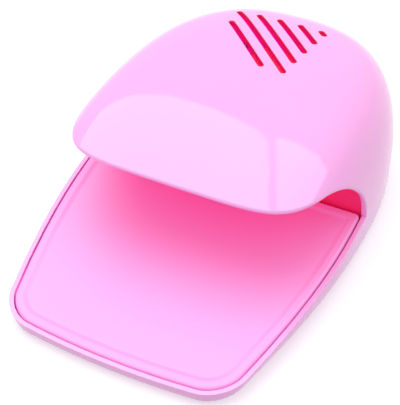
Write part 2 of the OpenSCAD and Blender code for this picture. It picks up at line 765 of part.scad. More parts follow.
module motor_end_cap() {
    color([0.92, 0.92, 0.9]) difference() {
        union() {
            on_axis(motor_y + motor_l) linear_extrude(cap_l - 1) motor_section(0);
            on_axis(motor_y + motor_l) linear_extrude(cap_l) motor_section(-1.2);
        }
        on_axis(motor_y + motor_l - 1) cylinder(h = cap_l + 3, r = shaft_r + pin_gap);
    }
}

module motor_terminals() {
    color(brass) for (s = [-1, 1]) difference() {
        block([s * terminal_x - 1.2, motor_end, fan_z - 0.25], [s * terminal_x + 1.2, motor_end + terminal_l, fan_z + 0.25]);
        translate([s * terminal_x, motor_end + terminal_l - 1.4, fan_z - 1]) cylinder(h = 2, r = 0.6);
    }
}

module motor_shaft() {
    color(steel) on_axis(hub_y + 0.6) cylinder(h = motor_end + 0.6 - hub_y, r = shaft_r);
}

// Moulded cover over the motor, with a foot on each post
module motor_clamp() {
    foot_in = motor_r + clamp_grip + 0.2;
    color(deep_pink) difference() {
        union() {
            on_axis(clamp_span[0]) linear_extrude(clamp_span[1] - clamp_span[0]) difference() {
                motor_section(clamp_grip + clamp_t);
                motor_section(clamp_grip);
                translate([-2 * motor_r, fan_z - clamp_z]) square([4 * motor_r, 2 * motor_r]);
            }
            for (s = [-1, 1]) block([s > 0 ? foot_in : -clamp_x - post_r, clamp_y - clamp_w / 2, clamp_z],
                [s > 0 ? clamp_x + post_r : -foot_in, clamp_y + clamp_w / 2, clamp_z + clamp_t]);
        }
        both_sides() translate([clamp_x, clamp_y, clamp_z - 1]) cylinder(h = 4, r = screw_r + 0.15);
    }
}

// A pan-head screw that points down from z = 0, with a cross in its head
module screw(l) {
    difference() {
        union() {
            rotate_extrude() polygon([[0, 0], [head_r, 0], [head_r, 0.6 * head_h],
                [0.7 * head_r, head_h], [0, head_h]]);
            translate([0, 0, -l]) cylinder(h = l, r = screw_r);
        }
        for (a = [0, 90]) rotate(a) translate([-1.5, -0.3, head_h - 0.8]) cube([3, 0.6, 1]);
    }
}

module clamp_screws() color(steel) both_sides() translate([clamp_x, clamp_y, clamp_z + clamp_t])
    screw(clamp_screw_l);

module panel_screws() color(steel) both_sides() translate([lug_x, lug_y, lug_z + lug_t])
    screw(lug_screw_l);

module case_screws() {
    color(steel) both_sides() for (p = [side_boss, rear_boss])
        translate([p[0], p[1], shoulder_z]) rotate([180, 0, 0]) screw(boss_z - shoulder_z + thread_l);
}

// One blade that points along +X, turned about the z axis, with a twist
root_r = 3.8;
root_pitch = 50;
tip_pitch = 28;
root_chord = 6.6;
tip_chord = 10;
function blade_ring(f) =
    let (r = root_r + (fan_r - root_r) * f)
    let (a = root_pitch + (tip_pitch - root_pitch) * f)
    let (c = root_chord + (tip_chord - root_chord) * f)
    [for (q = [0:45:315]) let (u = c / 2 * cos(q))
        let (v = blade_t / 2 * sgn(sin(q)) * abs(sin(q)) ^ 0.6 + 0.8 * (1 - (2 * u / c) ^ 2))
        [sqrt(max(r * r - u * u / 4, 1)), u * cos(a) - v * sin(a), u * sin(a) + v * cos(a)]];

module fan_impeller() {
    color([0.95, 0.95, 0.93]) on_axis(hub_y) difference() {
        union() {
            rotate_extrude() polygon(concat([[0, hub_l], [0, 0]],
                [for (a = [0:30:90]) [hub_r - 1.5 + 1.5 * sin(a), 1.5 - 1.5 * cos(a)]],
                [[hub_r, hub_l]]));
            for (i = [0:blade_count - 1]) rotate(i * 360 / blade_count) translate([0, 0, hub_l / 2])
                skin([for (f = [0:0.25:1]) blade_ring(f)]);
        }
        translate([0, 0, 0.6]) cylinder(h = hub_l, r = shaft_r + thread_gap);
    }
}

// ---- Batteries ----------------------------------------------------------

// A cell from its flat end at x = 0 to the tip of its nub
module cell() rotate([0, 90, 0]) rotate_extrude() polygon([[0, 0], [cell_r - 0.6, 0],
    [cell_r, 0.6], [cell_r, cell_l - nub_l - 0.6], [cell_r - 0.6, cell_l - nub_l],
    [nub_r, cell_l - nub_l], [nub_r, cell_l], [0, cell_l]]);

module battery_front() color([0.3, 0.55, 0.35])
    translate([bay_hx - contact_t - 0.1 - cell_l, cell_y[0], cell_z]) cell();

module battery_rear() color([0.3, 0.55, 0.35])
    translate([-(bay_hx - contact_t - 0.1 - cell_l), cell_y[1], cell_z]) rotate([0, 0, 180]) cell();

// A contact on the right-hand wall of the bay, from y0 to y1, with a tail at y
module contact(y0, y1, y) {
    block([bay_hx - contact_t, y0, pocket_z + 0.6], [bay_hx, y1, bay_ceiling - 0.1]);
    block([bay_hx - contact_t, y - tail_w / 2, bay_ceiling - 0.5], [bay_hx, y + tail_w / 2, tail_z]);
}

module contact_positive() color(steel) contact(cell_y[0] - contact_hw, cell_y[0] + contact_hw, cell_y[0]);

module contact_negative() color(steel) contact(cell_y[1] - contact_hw, cell_y[1] + contact_hw, cell_y[1]);

module contact_bridge() color(steel) mirror([1, 0, 0])
    block([bay_hx - contact_t, cell_y[0] - contact_hw, pocket_z + 0.6],
        [bay_hx, cell_y[1] + contact_hw, bay_ceiling - 0.1]);

module battery_cover() {
    color(shell_pink) difference() {
        union() {
            block([-bay_hx - ledge, bay_y - ledge, foot_h], [bay_hx + ledge, bay_end_y + ledge, foot_h + cover_t]);
            for (s = [-1, 1]) block(
                [s * tongue_x - tongue_w / 2, bay_end_y, foot_h + cover_t - tongue_t],
                [s * tongue_x + tongue_w / 2, bay_end_y + ledge + tongue_l, foot_h + cover_t]);
        }
        for (i = [0:4]) block([-9, bay_y + 2 + 2 * i, foot_h - 1], [9, bay_y + 2.8 + 2 * i, foot_h + 0.4]);
    }
}

// ---- Wires --------------------------------------------------------------

// Wires lie on the floor up to the bay, climb beside it and cross above it
wire_r = 0.65;
lie_z = floor_z + 1.4;
climb_x = bay_hx + bay_wall + 2.2;
cross_z = bay_top + 2.5;
motor_tab = [terminal_x, motor_end + terminal_l + seat_gap, fan_z];
bend_y = [motor_tab[1] + 3, motor_tab[1] + 5];
motor_route = [[-switch_tab - seat_gap, switch_y, lie_z], [-12, switch_y, lie_z], [-20, -0.5, lie_z + 0.2],
    [-27, 2.5, lie_z + 0.2], [-climb_x + 0.6, 6.5, lie_z + 0.4], [-climb_x, 11, lie_z + 0.6],
    [-climb_x, 16, lie_z + 3], [-climb_x, 19.5, lie_z + 9], [-climb_x + 0.6, 24, cross_z - 1.8],
    [-bay_hx, 31, cross_z], [-22, 40, cross_z + 0.7], [-15, 48, cross_z + 2.2],
    [-9, bend_y[1] - 1, fan_z - 1.5], [-6, bend_y[1], fan_z - 0.2], [-terminal_x, bend_y[0], fan_z],
    [-motor_tab[0], motor_tab[1], motor_tab[2]]];
switch_route = [[switch_tab + seat_gap, switch_y, lie_z], [12, switch_y, lie_z], [20, -0.5, lie_z + 0.2],
    [27, 2.5, lie_z + 0.2], [climb_x - 0.6, 6.5, lie_z + 0.4], [climb_x, 11, lie_z + 0.6],
    [climb_x, 16, lie_z + 3], [climb_x, 19.5, lie_z + 9], [climb_x - 0.6, 23, cross_z - 2.3],
    [climb_x - 1.8, 26, cross_z - 0.6],
    [bay_hx + 0.7, cell_y[0] - tail_w / 2 - seat_gap, tail_z - 0.7]];
battery_route = [[bay_hx - contact_t - seat_gap, cell_y[1], tail_z - 0.8], [24, cell_y[1] + 0.3, tail_z - 0.7],
    [18, cell_y[1] + 3.1, cross_z + 0.7], [12, 52, fan_z - 3], [8, bend_y[1], fan_z - 0.5],
    [5.6, bend_y[1] - 0.2, fan_z], [terminal_x, bend_y[0], fan_z], motor_tab];

module wire(route) tube(route, [for (p = route) [0.3, 0.2, 1]], wire_r, 8);

module wire_motor() color([0.1, 0.1, 0.1]) wire(motor_route);

module wire_switch() color([0.8, 0.1, 0.1]) wire(switch_route);

module wire_battery() color([0.1, 0.1, 0.5]) wire(battery_route);

// ---- Feet ---------------------------------------------------------------

module rubber_feet() color([0.9, 0.55, 0.75]) both_sides() for (p = foot_at) translate([p[0], p[1], 0])
    rotate_extrude() polygon([[0, 0], [foot_r - 0.4, 0], [foot_r, 0.4],
        [foot_r, foot_h + foot_sink], [0, foot_h + foot_sink]]);

lower_case();
upper_hood();
inner_panel();
hand_plate();
hinge_pins();
return_spring_left();
return_spring_right();
switch_body();
switch_button();
switch_terminals();
motor_can();
motor_end_cap();
motor_terminals();
motor_shaft();
motor_clamp();
clamp_screws();
fan_impeller();
battery_front();
battery_rear();
battery_springs();
contact_bridge();
contact_positive();
contact_negative();
battery_cover();
wire_motor();
wire_switch();
wire_battery();
panel_screws();
case_screws();
rubber_feet();
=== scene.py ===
"""Looks of the nail dryer: a hand plate in a thin tray, and a fan behind it under a domed hood.

All lengths are in metres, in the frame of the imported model.
"""

import json
import logging
import math
from contextlib import contextmanager
from dataclasses import dataclass, field
from enum import Enum
from typing import Callable, Iterator, Optional, Sequence

import bmesh
import bpy
import numpy as np
from mathutils import Matrix, Vector

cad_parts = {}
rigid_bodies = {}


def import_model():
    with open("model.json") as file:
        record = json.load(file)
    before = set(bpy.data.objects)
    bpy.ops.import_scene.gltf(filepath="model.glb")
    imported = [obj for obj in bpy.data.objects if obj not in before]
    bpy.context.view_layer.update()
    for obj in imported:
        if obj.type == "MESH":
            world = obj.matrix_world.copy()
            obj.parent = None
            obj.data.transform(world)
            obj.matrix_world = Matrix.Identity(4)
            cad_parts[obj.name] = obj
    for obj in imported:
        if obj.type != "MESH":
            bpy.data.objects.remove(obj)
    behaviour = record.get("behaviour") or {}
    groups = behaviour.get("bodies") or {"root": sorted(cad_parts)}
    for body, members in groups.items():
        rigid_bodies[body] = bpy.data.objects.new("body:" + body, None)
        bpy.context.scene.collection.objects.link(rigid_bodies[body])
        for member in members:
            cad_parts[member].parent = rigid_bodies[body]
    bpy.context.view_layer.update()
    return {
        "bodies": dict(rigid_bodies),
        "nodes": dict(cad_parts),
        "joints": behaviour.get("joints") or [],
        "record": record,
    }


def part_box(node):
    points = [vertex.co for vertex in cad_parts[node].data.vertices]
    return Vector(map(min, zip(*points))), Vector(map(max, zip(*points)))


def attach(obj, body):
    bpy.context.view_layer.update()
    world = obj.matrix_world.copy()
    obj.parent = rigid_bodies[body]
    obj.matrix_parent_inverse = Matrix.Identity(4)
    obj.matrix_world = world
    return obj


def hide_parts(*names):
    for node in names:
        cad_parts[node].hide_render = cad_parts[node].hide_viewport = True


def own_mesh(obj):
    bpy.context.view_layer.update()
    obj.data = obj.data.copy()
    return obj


logging.basicConfig(level=logging.INFO, format="%(message)s")
log = logging.getLogger("nail_dryer")

MM = 0.001
WIDE = 0.00025  # area of a wide flat face, in square metres
LEVEL = 0.003  # angle between faces that lie in one plane, in radians
FLAT = math.radians(0.4)  # faces at a smaller angle are joined
WELD = 1e-6  # corners of a node that are nearer are one, in metres
CREASE = 30.0  # an edge of a copied node that is sharper stays sharp, in degrees
CORNER = math.radians(40)  # an edge that is sharper can be rounded
Colour = tuple[float, float, float]
Piece = bpy.types.Object
Socket = bpy.types.NodeSocket


class Body(Enum):
    """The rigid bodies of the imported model."""

    BASE = "base"
    PLATE = "plate"
    BUTTON = "button"
    ROTOR = "rotor"
    COVER = "cover"


# ---- Node helpers


CLOUDS = 28.0  # spots of drifting colour per metre
SMUDGES = 60.0  # spots of drifting roughness per metre


def linear(c: Colour) -> tuple[float, float, float, float]:
    """Turn a display colour into the linear colour that shaders take.

    Args:
        c: Red, green and blue from 0 to 1, as they show on a screen.

    Returns:
        Linear red, green and blue, with an alpha of 1.
    """
    r, g, b = (x / 12.92 if x <= 0.04045 else ((x + 0.055) / 1.055) ** 2.4 for x in c)
    return (r, g, b, 1.0)


class Tree:
    """A node tree that is written in one pass."""

    def __init__(self, nodes_of: bpy.types.NodeTree) -> None:
        """Start on an empty tree."""
        self.tree = nodes_of

    @classmethod
    def of(cls, owner: bpy.types.ID) -> "Tree":
        """Start on the emptied tree of a material or a world."""
        owner.use_nodes = True
        owner.node_tree.nodes.clear()
        return cls(owner.node_tree)

    def add(self, kind: str, props: Optional[dict] = None, **inputs: object) -> bpy.types.Node:
        """Add a node.

        Args:
            kind: The node's type name.
            props: Settings of the node itself.
            inputs: A value or an output socket for each input. The name is the
                socket's, with underscores for spaces, or i0, i1 and so on by place.

        Returns:
            The new node.
        """
        node = self.tree.nodes.new(kind)
        for key, value in (props or {}).items():
            setattr(node, key, value)
        for key, value in inputs.items():
            by_place = key[0] == "i" and key[1:].isdigit()
            socket = node.inputs[int(key[1:]) if by_place else key.replace("_", " ")]
            if isinstance(value, Socket):
                self.tree.links.new(value, socket)
            else:
                socket.default_value = value
        return node

    def link(self, a: Socket, b: Socket) -> None:
        """Join an output to an input."""
        self.tree.links.new(a, b)

    def end(self, surface: Socket, kind: str = "ShaderNodeOutputMaterial") -> None:
        """Send a surface to the output of the tree."""
        self.link(surface, self.add(kind).inputs["Surface"])

    def math(self, op: str, a: object, b: object = 0.0) -> Socket:
        """Add a math node and return its output."""
        return self.add("ShaderNodeMath", {"operation": op}, i0=a, i1=b).outputs[0]


# ---- Finishes


@dataclass(frozen=True)
class Finish:
    """A surface finish.

    Attributes:
        name: Name of the material.
        colour: Display colour.
        tone: How far the colour drifts over the surface.
        rough: Roughness.
        rough_drift: How far the roughness drifts.
        grain: Features of the bump per metre.
        bump: Height of the bump in metres.
    """

    name: str
    colour: Colour
    tone: float = 0.03
    rough: float = 0.3
    rough_drift: float = 0.05
    grain: float = 900.0
    bump: float = 0.00001

    def shader(self, t: Tree) -> bpy.types.Node:
        """Add the main shader, with the constants of this kind of finish."""
        return t.add("ShaderNodeBsdfPrincipled")

    def place(self, t: Tree) -> Socket:
        """Return the coordinates that the pattern follows."""
        return t.add("ShaderNodeTexCoord").outputs["Object"]

    def tint(self, t: Tree, place: Socket) -> Socket:
        """Return the colour over the surface."""
        noise = t.add("ShaderNodeTexNoise", Vector=place, Scale=CLOUDS, Detail=3.0)
        ramp = t.add("ShaderNodeValToRGB", Fac=noise.outputs[0])
        lo, hi = (tuple(min(1.0, max(0.0, c + s * self.tone)) for c in self.colour)
                  for s in (-1, 1))
        ramp.color_ramp.elements[0].position, ramp.color_ramp.elements[1].position = 0.3, 0.7
        ramp.color_ramp.elements[0].color = linear(lo)
        ramp.color_ramp.elements[1].color = linear(hi)
        return ramp.outputs[0]

    def bumps(self, t: Tree, place: Socket) -> Socket:
        """Return the surface normal with the fine grain of the finish."""
        noise = t.add("ShaderNodeTexNoise", Vector=place, Scale=self.grain, Detail=2.0)
        return t.add("ShaderNodeBump", Strength=1.0, Distance=self.bump,
                     Height=noise.outputs[0]).outputs[0]

    def surface(self, t: Tree, shader: bpy.types.Node) -> Socket:
        """Return the finished surface."""
        return shader.outputs[0]

    def build(self) -> bpy.types.Material:
        """Build the material, once.

        Returns:
            The material of this finish.
        """
        found = bpy.data.materials.get(self.name)
        if found:
            return found
        material = bpy.data.materials.new(self.name)
        t = Tree.of(material)
        shader = self.shader(t)
        place = self.place(t)
        t.link(self.tint(t, place), shader.inputs["Base Color"])
        smudge = t.add("ShaderNodeTexNoise", Vector=place, Scale=SMUDGES, Detail=4.0)
        spread = t.add("ShaderNodeMapRange", Value=smudge.outputs[0],
                       To_Min=max(0.02, self.rough - self.rough_drift),
                       To_Max=self.rough + self.rough_drift)
        t.link(spread.outputs[0], shader.inputs["Roughness"])
        t.link(self.bumps(t, place), shader.inputs["Normal"])
        t.end(self.surface(t, shader))
        return material


@dataclass(frozen=True)
class GlossPlastic(Finish):
    """Glossy moulded plastic, in which a little light can travel.

    Attributes:
        depth: How far light travels inside, in metres.
        glow: Share of the light that travels inside.
        glow_tint: Reach of red, green and blue inside.
    """

    depth: float = 0.004
    glow: float = 0.0
    glow_tint: Colour = (1.0, 0.16, 0.4)

    def shader(self, t: Tree) -> bpy.types.Node:
        """Add a shader with light inside."""
        return t.add("ShaderNodeBsdfPrincipled", IOR=1.5, Subsurface_Weight=self.glow,
                     Subsurface_Radius=self.glow_tint, Subsurface_Scale=self.depth)


@dataclass(frozen=True)
class ThinPlastic(GlossPlastic):
    """Glossy plastic of a thin wall that glows when it is lit from behind, mostly inwards.

    Attributes:
        through: Share of the light that passes through the surface.
        through_tint: Linear colour of that light.
        outside: Share of it that shows on the outside too.
    """

    through: float = 0.25
    through_tint: Colour = (1.0, 0.3, 0.7)
    outside: float = 1.0

    def surface(self, t: Tree, shader: bpy.types.Node) -> Socket:
        """Return the surface, mixed with what passes through it."""
        behind = t.add("ShaderNodeBsdfTranslucent", Color=(*self.through_tint, 1.0))
        inner = t.add("ShaderNodeNewGeometry").outputs["Backfacing"]
        share = t.add("ShaderNodeMapRange", Value=inner, To_Min=self.through * self.outside,
                      To_Max=self.through).outputs[0]
        mix = t.add("ShaderNodeMixShader", i0=share, i1=shader.outputs[0], i2=behind.outputs[0])
        return mix.outputs[0]


@dataclass(frozen=True)
class Metal(Finish):
    """Drawn, rolled or plated metal.

    Attributes:
        along: Stretch of the brush marks over X, Y and Z.
    """

    along: Colour = (1.0, 0.06, 1.0)

    def shader(self, t: Tree) -> bpy.types.Node:
        """Add a metal shader."""
        return t.add("ShaderNodeBsdfPrincipled", Metallic=1.0, IOR=1.5)

    def place(self, t: Tree) -> Socket:
        """Return coordinates that are stretched along the brush marks."""
        base = t.add("ShaderNodeTexCoord").outputs["Object"]
        return t.add("ShaderNodeMapping", Vector=base, Scale=self.along).outputs[0]


@dataclass(frozen=True)
class Banded(Finish):
    """A sleeve in two plain colours, with a thin line between them.

    Attributes:
        other: Colour of the band.
        start: Where the band starts along X, in metres.
        flip: Whether the band lies on the low side of it.
    """

    other: Colour = (0.8, 0.5, 0.25)
    start: float = 0.012
    flip: bool = False

    def shader(self, t: Tree) -> bpy.types.Node:
        """Add a lacquered shader."""
        return t.add("ShaderNodeBsdfPrincipled", IOR=1.5, Coat_Weight=0.6, Coat_Roughness=0.08)

    def tint(self, t: Tree, place: Socket) -> Socket:
        """Return the two colours over X."""
        x = t.add("ShaderNodeSeparateXYZ", Vector=place).outputs[0]
        span = t.add("ShaderNodeMapRange", Value=x, From_Min=self.start - 0.02,
                     From_Max=self.start + 0.02)
        ramp = t.add("ShaderNodeValToRGB", Fac=span.outputs[0])
        ramp.color_ramp.interpolation = "CONSTANT"
        a, b = (self.other, self.colour) if self.flip else (self.colour, self.other)
        ramp.color_ramp.elements[0].color = linear(a)
        ramp.color_ramp.elements[1].position = 0.52
        ramp.color_ramp.elements[1].color = linear(b)
        line = ramp.color_ramp.elements.new(0.5)
        line.color = linear((0.95, 0.95, 0.92))
        return ramp.outputs[0]


SHELL = GlossPlastic("pink_shell", (0.999, 0.7, 0.945), tone=0.004, rough=0.12, rough_drift=0.02,
                     grain=350.0, bump=0.000004)
DOME = ThinPlastic("pink_dome", (0.999, 0.7, 0.945), tone=0.004, rough=0.07, rough_drift=0.02,
                   grain=350.0, bump=0.000004, through=0.55, through_tint=(1.0, 0.3, 0.9),
                   outside=0.06)
PLATE = GlossPlastic("pink_plate", (0.999, 0.66, 0.925), tone=0.004, rough=0.5, rough_drift=0.04,
                     grain=500.0, bump=0.000006)
# A deep pink for the inner panel and the motor clamp, which paints the shade inside the hood.
INSIDE_PAINTED_SHADE = GlossPlastic("pink_inside", (0.999, 0.2, 0.5), tone=0.01, rough=0.3, grain=600.0)
# The hood's inner faces: a hot pink that paints the shade under the hood, with a translucent share
# that lets red light through.
LINING_PAINTED_SHADE = ThinPlastic("pink_lining", (0.999, 0.16, 0.8), tone=0.01, rough=0.3, grain=600.0,
                     through=0.75, through_tint=(1.0, 0.015, 0.45))
# Walls of the air slots: a dark red that paints the shade inside the slots.
CUT_PAINTED_SHADE = ThinPlastic("pink_cut", (0.9, 0.16, 0.4), tone=0.01, rough=0.3, grain=600.0,
                  through=0.2, through_tint=(1.0, 0.02, 0.2))
STEEL = Metal("zinc_steel", (0.76, 0.77, 0.79), rough=0.28, grain=1500.0, bump=0.000006)
WIRE_STEEL = Metal("spring_wire", (0.72, 0.73, 0.75), rough=0.2, grain=2500.0, bump=0.000003)
CAN_STEEL = Metal("motor_steel", (0.7, 0.71, 0.73), rough=0.33, grain=900.0, bump=0.000008,
                  along=(1.0, 0.03, 1.0))
NICKEL = Metal("nickel_strip", (0.82, 0.8, 0.76), rough=0.22, grain=1200.0, bump=0.000004)
BRASS = Metal("stamped_brass", (0.86, 0.72, 0.42), rough=0.25, grain=1500.0, bump=0.000005)
BLACK = Finish("satin_black", (0.13, 0.13, 0.14), rough=0.45, grain=1800.0, bump=0.00002)
RED = Finish("satin_red", (0.8, 0.16, 0.16), rough=0.4, grain=1800.0, bump=0.00001)
NATURAL = Finish("natural_white", (0.9, 0.9, 0.87), rough=0.5, grain=1200.0, bump=0.00001)
BLADE = GlossPlastic("fan_white", (0.93, 0.93, 0.91), tone=0.01, rough=0.25, glow=0.1, depth=0.001)
FEET = Finish("soft_pads", (0.88, 0.52, 0.73), rough=0.7, grain=1500.0, bump=0.00003)
SLEEVE_BLACK = Finish("sleeve_black", (0.06, 0.06, 0.06), rough=0.45)
SLEEVE_RED = Finish("sleeve_red", (0.7, 0.06, 0.06), rough=0.45)
SLEEVE_BLUE = Finish("sleeve_blue", (0.1, 0.14, 0.5), rough=0.45)


# ---- Mesh helpers


def new_piece(name: str, mesh: bpy.types.Mesh) -> Piece:
    """Link a mesh as an object at the origin."""
    piece = bpy.data.objects.new(name, mesh)
    bpy.context.scene.collection.objects.link(piece)
    return piece


def from_faces(name: str, points: Sequence, faces: Sequence) -> Piece:
    """Make an object from points and faces.

    Args:
        name: Name of the object.
        points: Corners in metres.
        faces: Indices of the corners of each face, seen from outside.

    Returns:
        The new object.
    """
    mesh = bpy.data.meshes.new(name)
    mesh.from_pydata([tuple(map(float, p)) for p in points], [], [list(f) for f in faces])
    mesh.validate()
    return new_piece(name, mesh)


@contextmanager
def opened(piece: Piece) -> Iterator[bmesh.types.BMesh]:
    """Open a piece's mesh for changes, which are written back at the end."""
    bm = bmesh.new()
    bm.from_mesh(piece.data)
    yield bm
    bm.to_mesh(piece.data)
    bm.free()


def soften(piece: Piece, degrees: float) -> None:
    """Shade a piece smooth, apart from edges sharper than an angle and the rims of wide flats."""
    for face in piece.data.polygons:
        face.use_smooth = True
    piece.data.set_sharp_from_angle(angle=math.radians(degrees))
    with opened(piece) as bm:
        for face in bm.faces:
            if face.calc_area() > WIDE:
                for edge in face.edges:
                    edge.smooth = edge.smooth and edge.calc_face_angle(0.0) < LEVEL


def settle(piece: Piece) -> None:
    """Turn a piece's modifiers into its plain mesh."""
    graph = bpy.context.evaluated_depsgraph_get()
    mesh = bpy.data.meshes.new_from_object(piece.evaluated_get(graph), depsgraph=graph)
    piece.modifiers.clear()
    old = piece.data
    piece.data = mesh
    bpy.data.meshes.remove(old)
    mesh.name = piece.name


def even_out(piece: Piece) -> None:
    """Let wide faces lead the shading, up to the sharp edges."""
    piece.modifiers.new("weighted", "WEIGHTED_NORMAL").keep_sharp = True
    settle(piece)


def drop(*pieces: Piece) -> None:
    """Delete helper objects."""
    for piece in pieces:
        bpy.data.objects.remove(piece)


def cut_out(piece: Piece, *tools: Piece, materials: str = "INDEX") -> None:
    """Cut tools out of a piece, and delete them.

    Args:
        piece: The piece that is cut.
        tools: What is taken away.
        materials: How the cut faces get their material.
    """
    for tool in tools:
        cut = piece.modifiers.new("cut", "BOOLEAN")
        cut.object, cut.solver, cut.material_mode = tool, "EXACT", materials
    settle(piece)
    drop(*tools)


def skin_faces(rings: int, n: int, tail: Optional[int], tip: Optional[int]) -> list[list[int]]:
    """List the faces of a closed skin through rings.

    Args:
        rings: Number of rings, whose points follow each other.
        n: Points in each ring.
        tail: Index of the point that closes the first ring, or none for a flat end.
        tip: Index of the point that closes the last ring, or none for a flat end.

    Returns:
        The faces, seen from outside.
    """
    faces = [
        [i * n + j, i * n + (j + 1) % n, (i + 1) * n + (j + 1) % n, (i + 1) * n + j]
        for i in range(rings - 1)
        for j in range(n)
    ]
    last = (rings - 1) * n
    if tail is None:
        faces.append(list(range(n - 1, -1, -1)))
    else:
        faces += [[tail, (j + 1) % n, j] for j in range(n)]
    if tip is None:
        faces.append(list(range(last, last + n)))
    else:
        faces += [[tip, last + j, last + (j + 1) % n] for j in range(n)]
    return faces


def outward(piece: Piece) -> None:
    """Merge doubles and point all faces outwards."""
    with opened(piece) as bm:
        bmesh.ops.remove_doubles(bm, verts=bm.verts, dist=1e-7)
        bmesh.ops.recalc_face_normals(bm, faces=bm.faces)


@dataclass
class Shop:
    """What every sub-assembly needs to put its pieces in the model.

    Attributes:
    """

    frame: dict

    def copy_of(self, node: str, name: str, bevel: float = 0.0,
                mend: Optional[Callable[[bmesh.types.BMesh], None]] = None,
                trim: Optional[Callable[[bmesh.types.BMesh], None]] = None) -> Piece:
        """Copy a node with merged corners, smooth faces and a fine edge.

        Args:
            node: Name of the node.
            name: Name of the new piece.
            bevel: Width of the rounded edge in metres, or 0 for none.
            mend: What is done to the corners before the faces are joined.
            trim: What is done to the edges after that.

        Returns:
            The new piece.
        """
        piece = new_piece(name, self.frame["nodes"][node].data.copy())
        piece.data.materials.clear()
        with opened(piece) as bm:
            bmesh.ops.remove_doubles(bm, verts=bm.verts, dist=WELD)
            if mend:
                mend(bm)
                bmesh.ops.remove_doubles(bm, verts=bm.verts, dist=4 * WELD)
            bmesh.ops.dissolve_limit(bm, angle_limit=FLAT, verts=bm.verts, edges=bm.edges,
                                     delimit={"NORMAL"})
            if trim:
                trim(bm)
            seams = [e for e in bm.edges if len(e.link_faces) == 2 and e.calc_face_angle() < LEVEL
                     and max(f.calc_area() for f in e.link_faces) > WIDE]
            bmesh.ops.dissolve_edges(bm, edges=seams, use_verts=False)
        soften(piece, CREASE)
        if bevel:
            edge = piece.modifiers.new("edge", "BEVEL")
            edge.width, edge.segments = bevel, 2
            edge.limit_method, edge.angle_limit = "ANGLE", CORNER
            edge.harden_normals = False
            settle(piece)
            soften(piece, CREASE + 20)
        even_out(piece)
        return piece

    def hand_over(self, piece: Piece, body: Body, finish: Finish, slot: str,
                  *nodes: str) -> None:
        """Dress a piece, and let it ride on its body in place of its nodes.

        Args:
            piece: The finished piece.
            body: The body that carries it.
            finish: Its finish.
            slot: The material slot of the record that it answers to; not used.
            nodes: Nodes that it stands for.
        """
        if not piece.data.materials:
            piece.data.materials.append(finish.build())
        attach(piece, body.value)
        if nodes:
            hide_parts(*nodes)
        log.info("%s: %d faces on %s", piece.name, len(piece.data.polygons), body.value)

    def dress(self, node: str, name: str, finish: Finish, slot: str, body: Body = Body.BASE,
              bevel: float = 0.0, **work: Callable[[bmesh.types.BMesh], None]) -> None:
        """Copy a node and hand the copy over in its place.

        Args:
            node: Name of the node.
            name: Name of the new piece.
            finish: Its finish.
            slot: The material slot of the record that it answers to.
            body: The body that carries it.
            bevel: Width of the rounded edge in metres, or 0 for none.
            work: What copy_of does to the mesh, as mend or trim.
        """
        self.hand_over(self.copy_of(node, name, bevel, **work), body, finish, slot, node)


# ---- Geometry Nodes


class Pattern:
    """A Geometry Nodes tree with named inputs, used once on one host object."""

    def __init__(self, name: str, **inputs: str) -> None:
        """Make the group and its sockets, of which Material comes last.

        Args:
            name: Name of the tree.
            inputs: Kind of socket for each other input's name.
        """
        group = bpy.data.node_groups.new(name, "GeometryNodeTree")
        face = group.interface
        face.new_socket(name="Geometry", in_out="INPUT", socket_type="NodeSocketGeometry")
        self.ids = {
            key: face.new_socket(name=key, in_out="INPUT",
                                 socket_type="NodeSocket" + kind).identifier
            for key, kind in (*inputs.items(), ("Material", "Material"))
        }
        face.new_socket(name="Geometry", in_out="OUTPUT", socket_type="NodeSocketGeometry")
        self.group = group
        self.t = Tree(group)
        self.entry = self.t.add("NodeGroupInput")

    def get(self, name: str) -> Socket:
        """Return the socket that an input arrives at."""
        return self.entry.outputs[name]

    def copies(self, points: Socket, **inputs: object) -> Socket:
        """Put a copy of the object in the input Copy on each point.

        Args:
            points: Where the copies go.
            inputs: The copies' Rotation and Scale.

        Returns:
            The copies, still as instances.
        """
        copy = self.t.add("GeometryNodeObjectInfo", Object=self.get("Copy"), As_Instance=True)
        return self.t.add("GeometryNodeInstanceOnPoints", Points=points,
                          Instance=copy.outputs["Geometry"], **inputs).outputs[0]

    def tube(self, curve: Socket, sides: object, radius: str) -> Socket:
        """Run a round tube with closed ends along a curve.

        Args:
            curve: The curve.
            sides: Number of sides.
            radius: Name of the input that holds the radius.

        Returns:
            The tube.
        """
        profile = self.t.add("GeometryNodeCurvePrimitiveCircle", Resolution=sides,
                             Radius=self.get(radius))
        return self.t.add("GeometryNodeCurveToMesh", Curve=curve, Profile_Curve=profile.outputs[0],
                          Fill_Caps=True).outputs[0]

    def finish(self, geometry: Socket) -> None:
        """End the tree with real geometry that has its material."""
        real = self.t.add("GeometryNodeRealizeInstances", Geometry=geometry)
        smooth = self.t.add("GeometryNodeSetShadeSmooth", Geometry=real.outputs[0])
        dressed = self.t.add("GeometryNodeSetMaterial", Geometry=smooth.outputs[0],
                             Material=self.get("Material"))
        self.t.link(dressed.outputs[0], self.t.add("NodeGroupOutput").inputs[0])

    def run(self, host: Piece, material: bpy.types.Material, degrees: float = 40.0,
            **values: object) -> None:
        """Run the tree on a host, and leave the host with the result as its mesh.

        Args:
            host: The object that the tree starts from.
            material: Material of the result.
            degrees: Edges sharper than this stay sharp.
            values: A value for each other named input.
        """
        modifier = host.modifiers.new(self.group.name, "NODES")
        modifier.node_group = self.group
        for key, value in {**values, "Material": material}.items():
            modifier[self.ids[key]] = value
        settle(host)
        host.data.set_sharp_from_angle(angle=math.radians(degrees))


def copies_on_points(name: str) -> Pattern:
    """Make a tree that puts a copy of an object on each point, turned as the point says.

    Args:
        name: Name of the tree.

    Returns:
        The pattern, whose inputs are Copy, Size and Material.
    """
    p = Pattern(name, Copy="Object", Size="Float")
    turn = p.t.add("GeometryNodeInputNamedAttribute", {"data_type": "FLOAT_VECTOR"}, Name="turn")
    p.finish(p.copies(p.get("Geometry"), Rotation=turn.outputs[0], Scale=p.get("Size")))
    return p


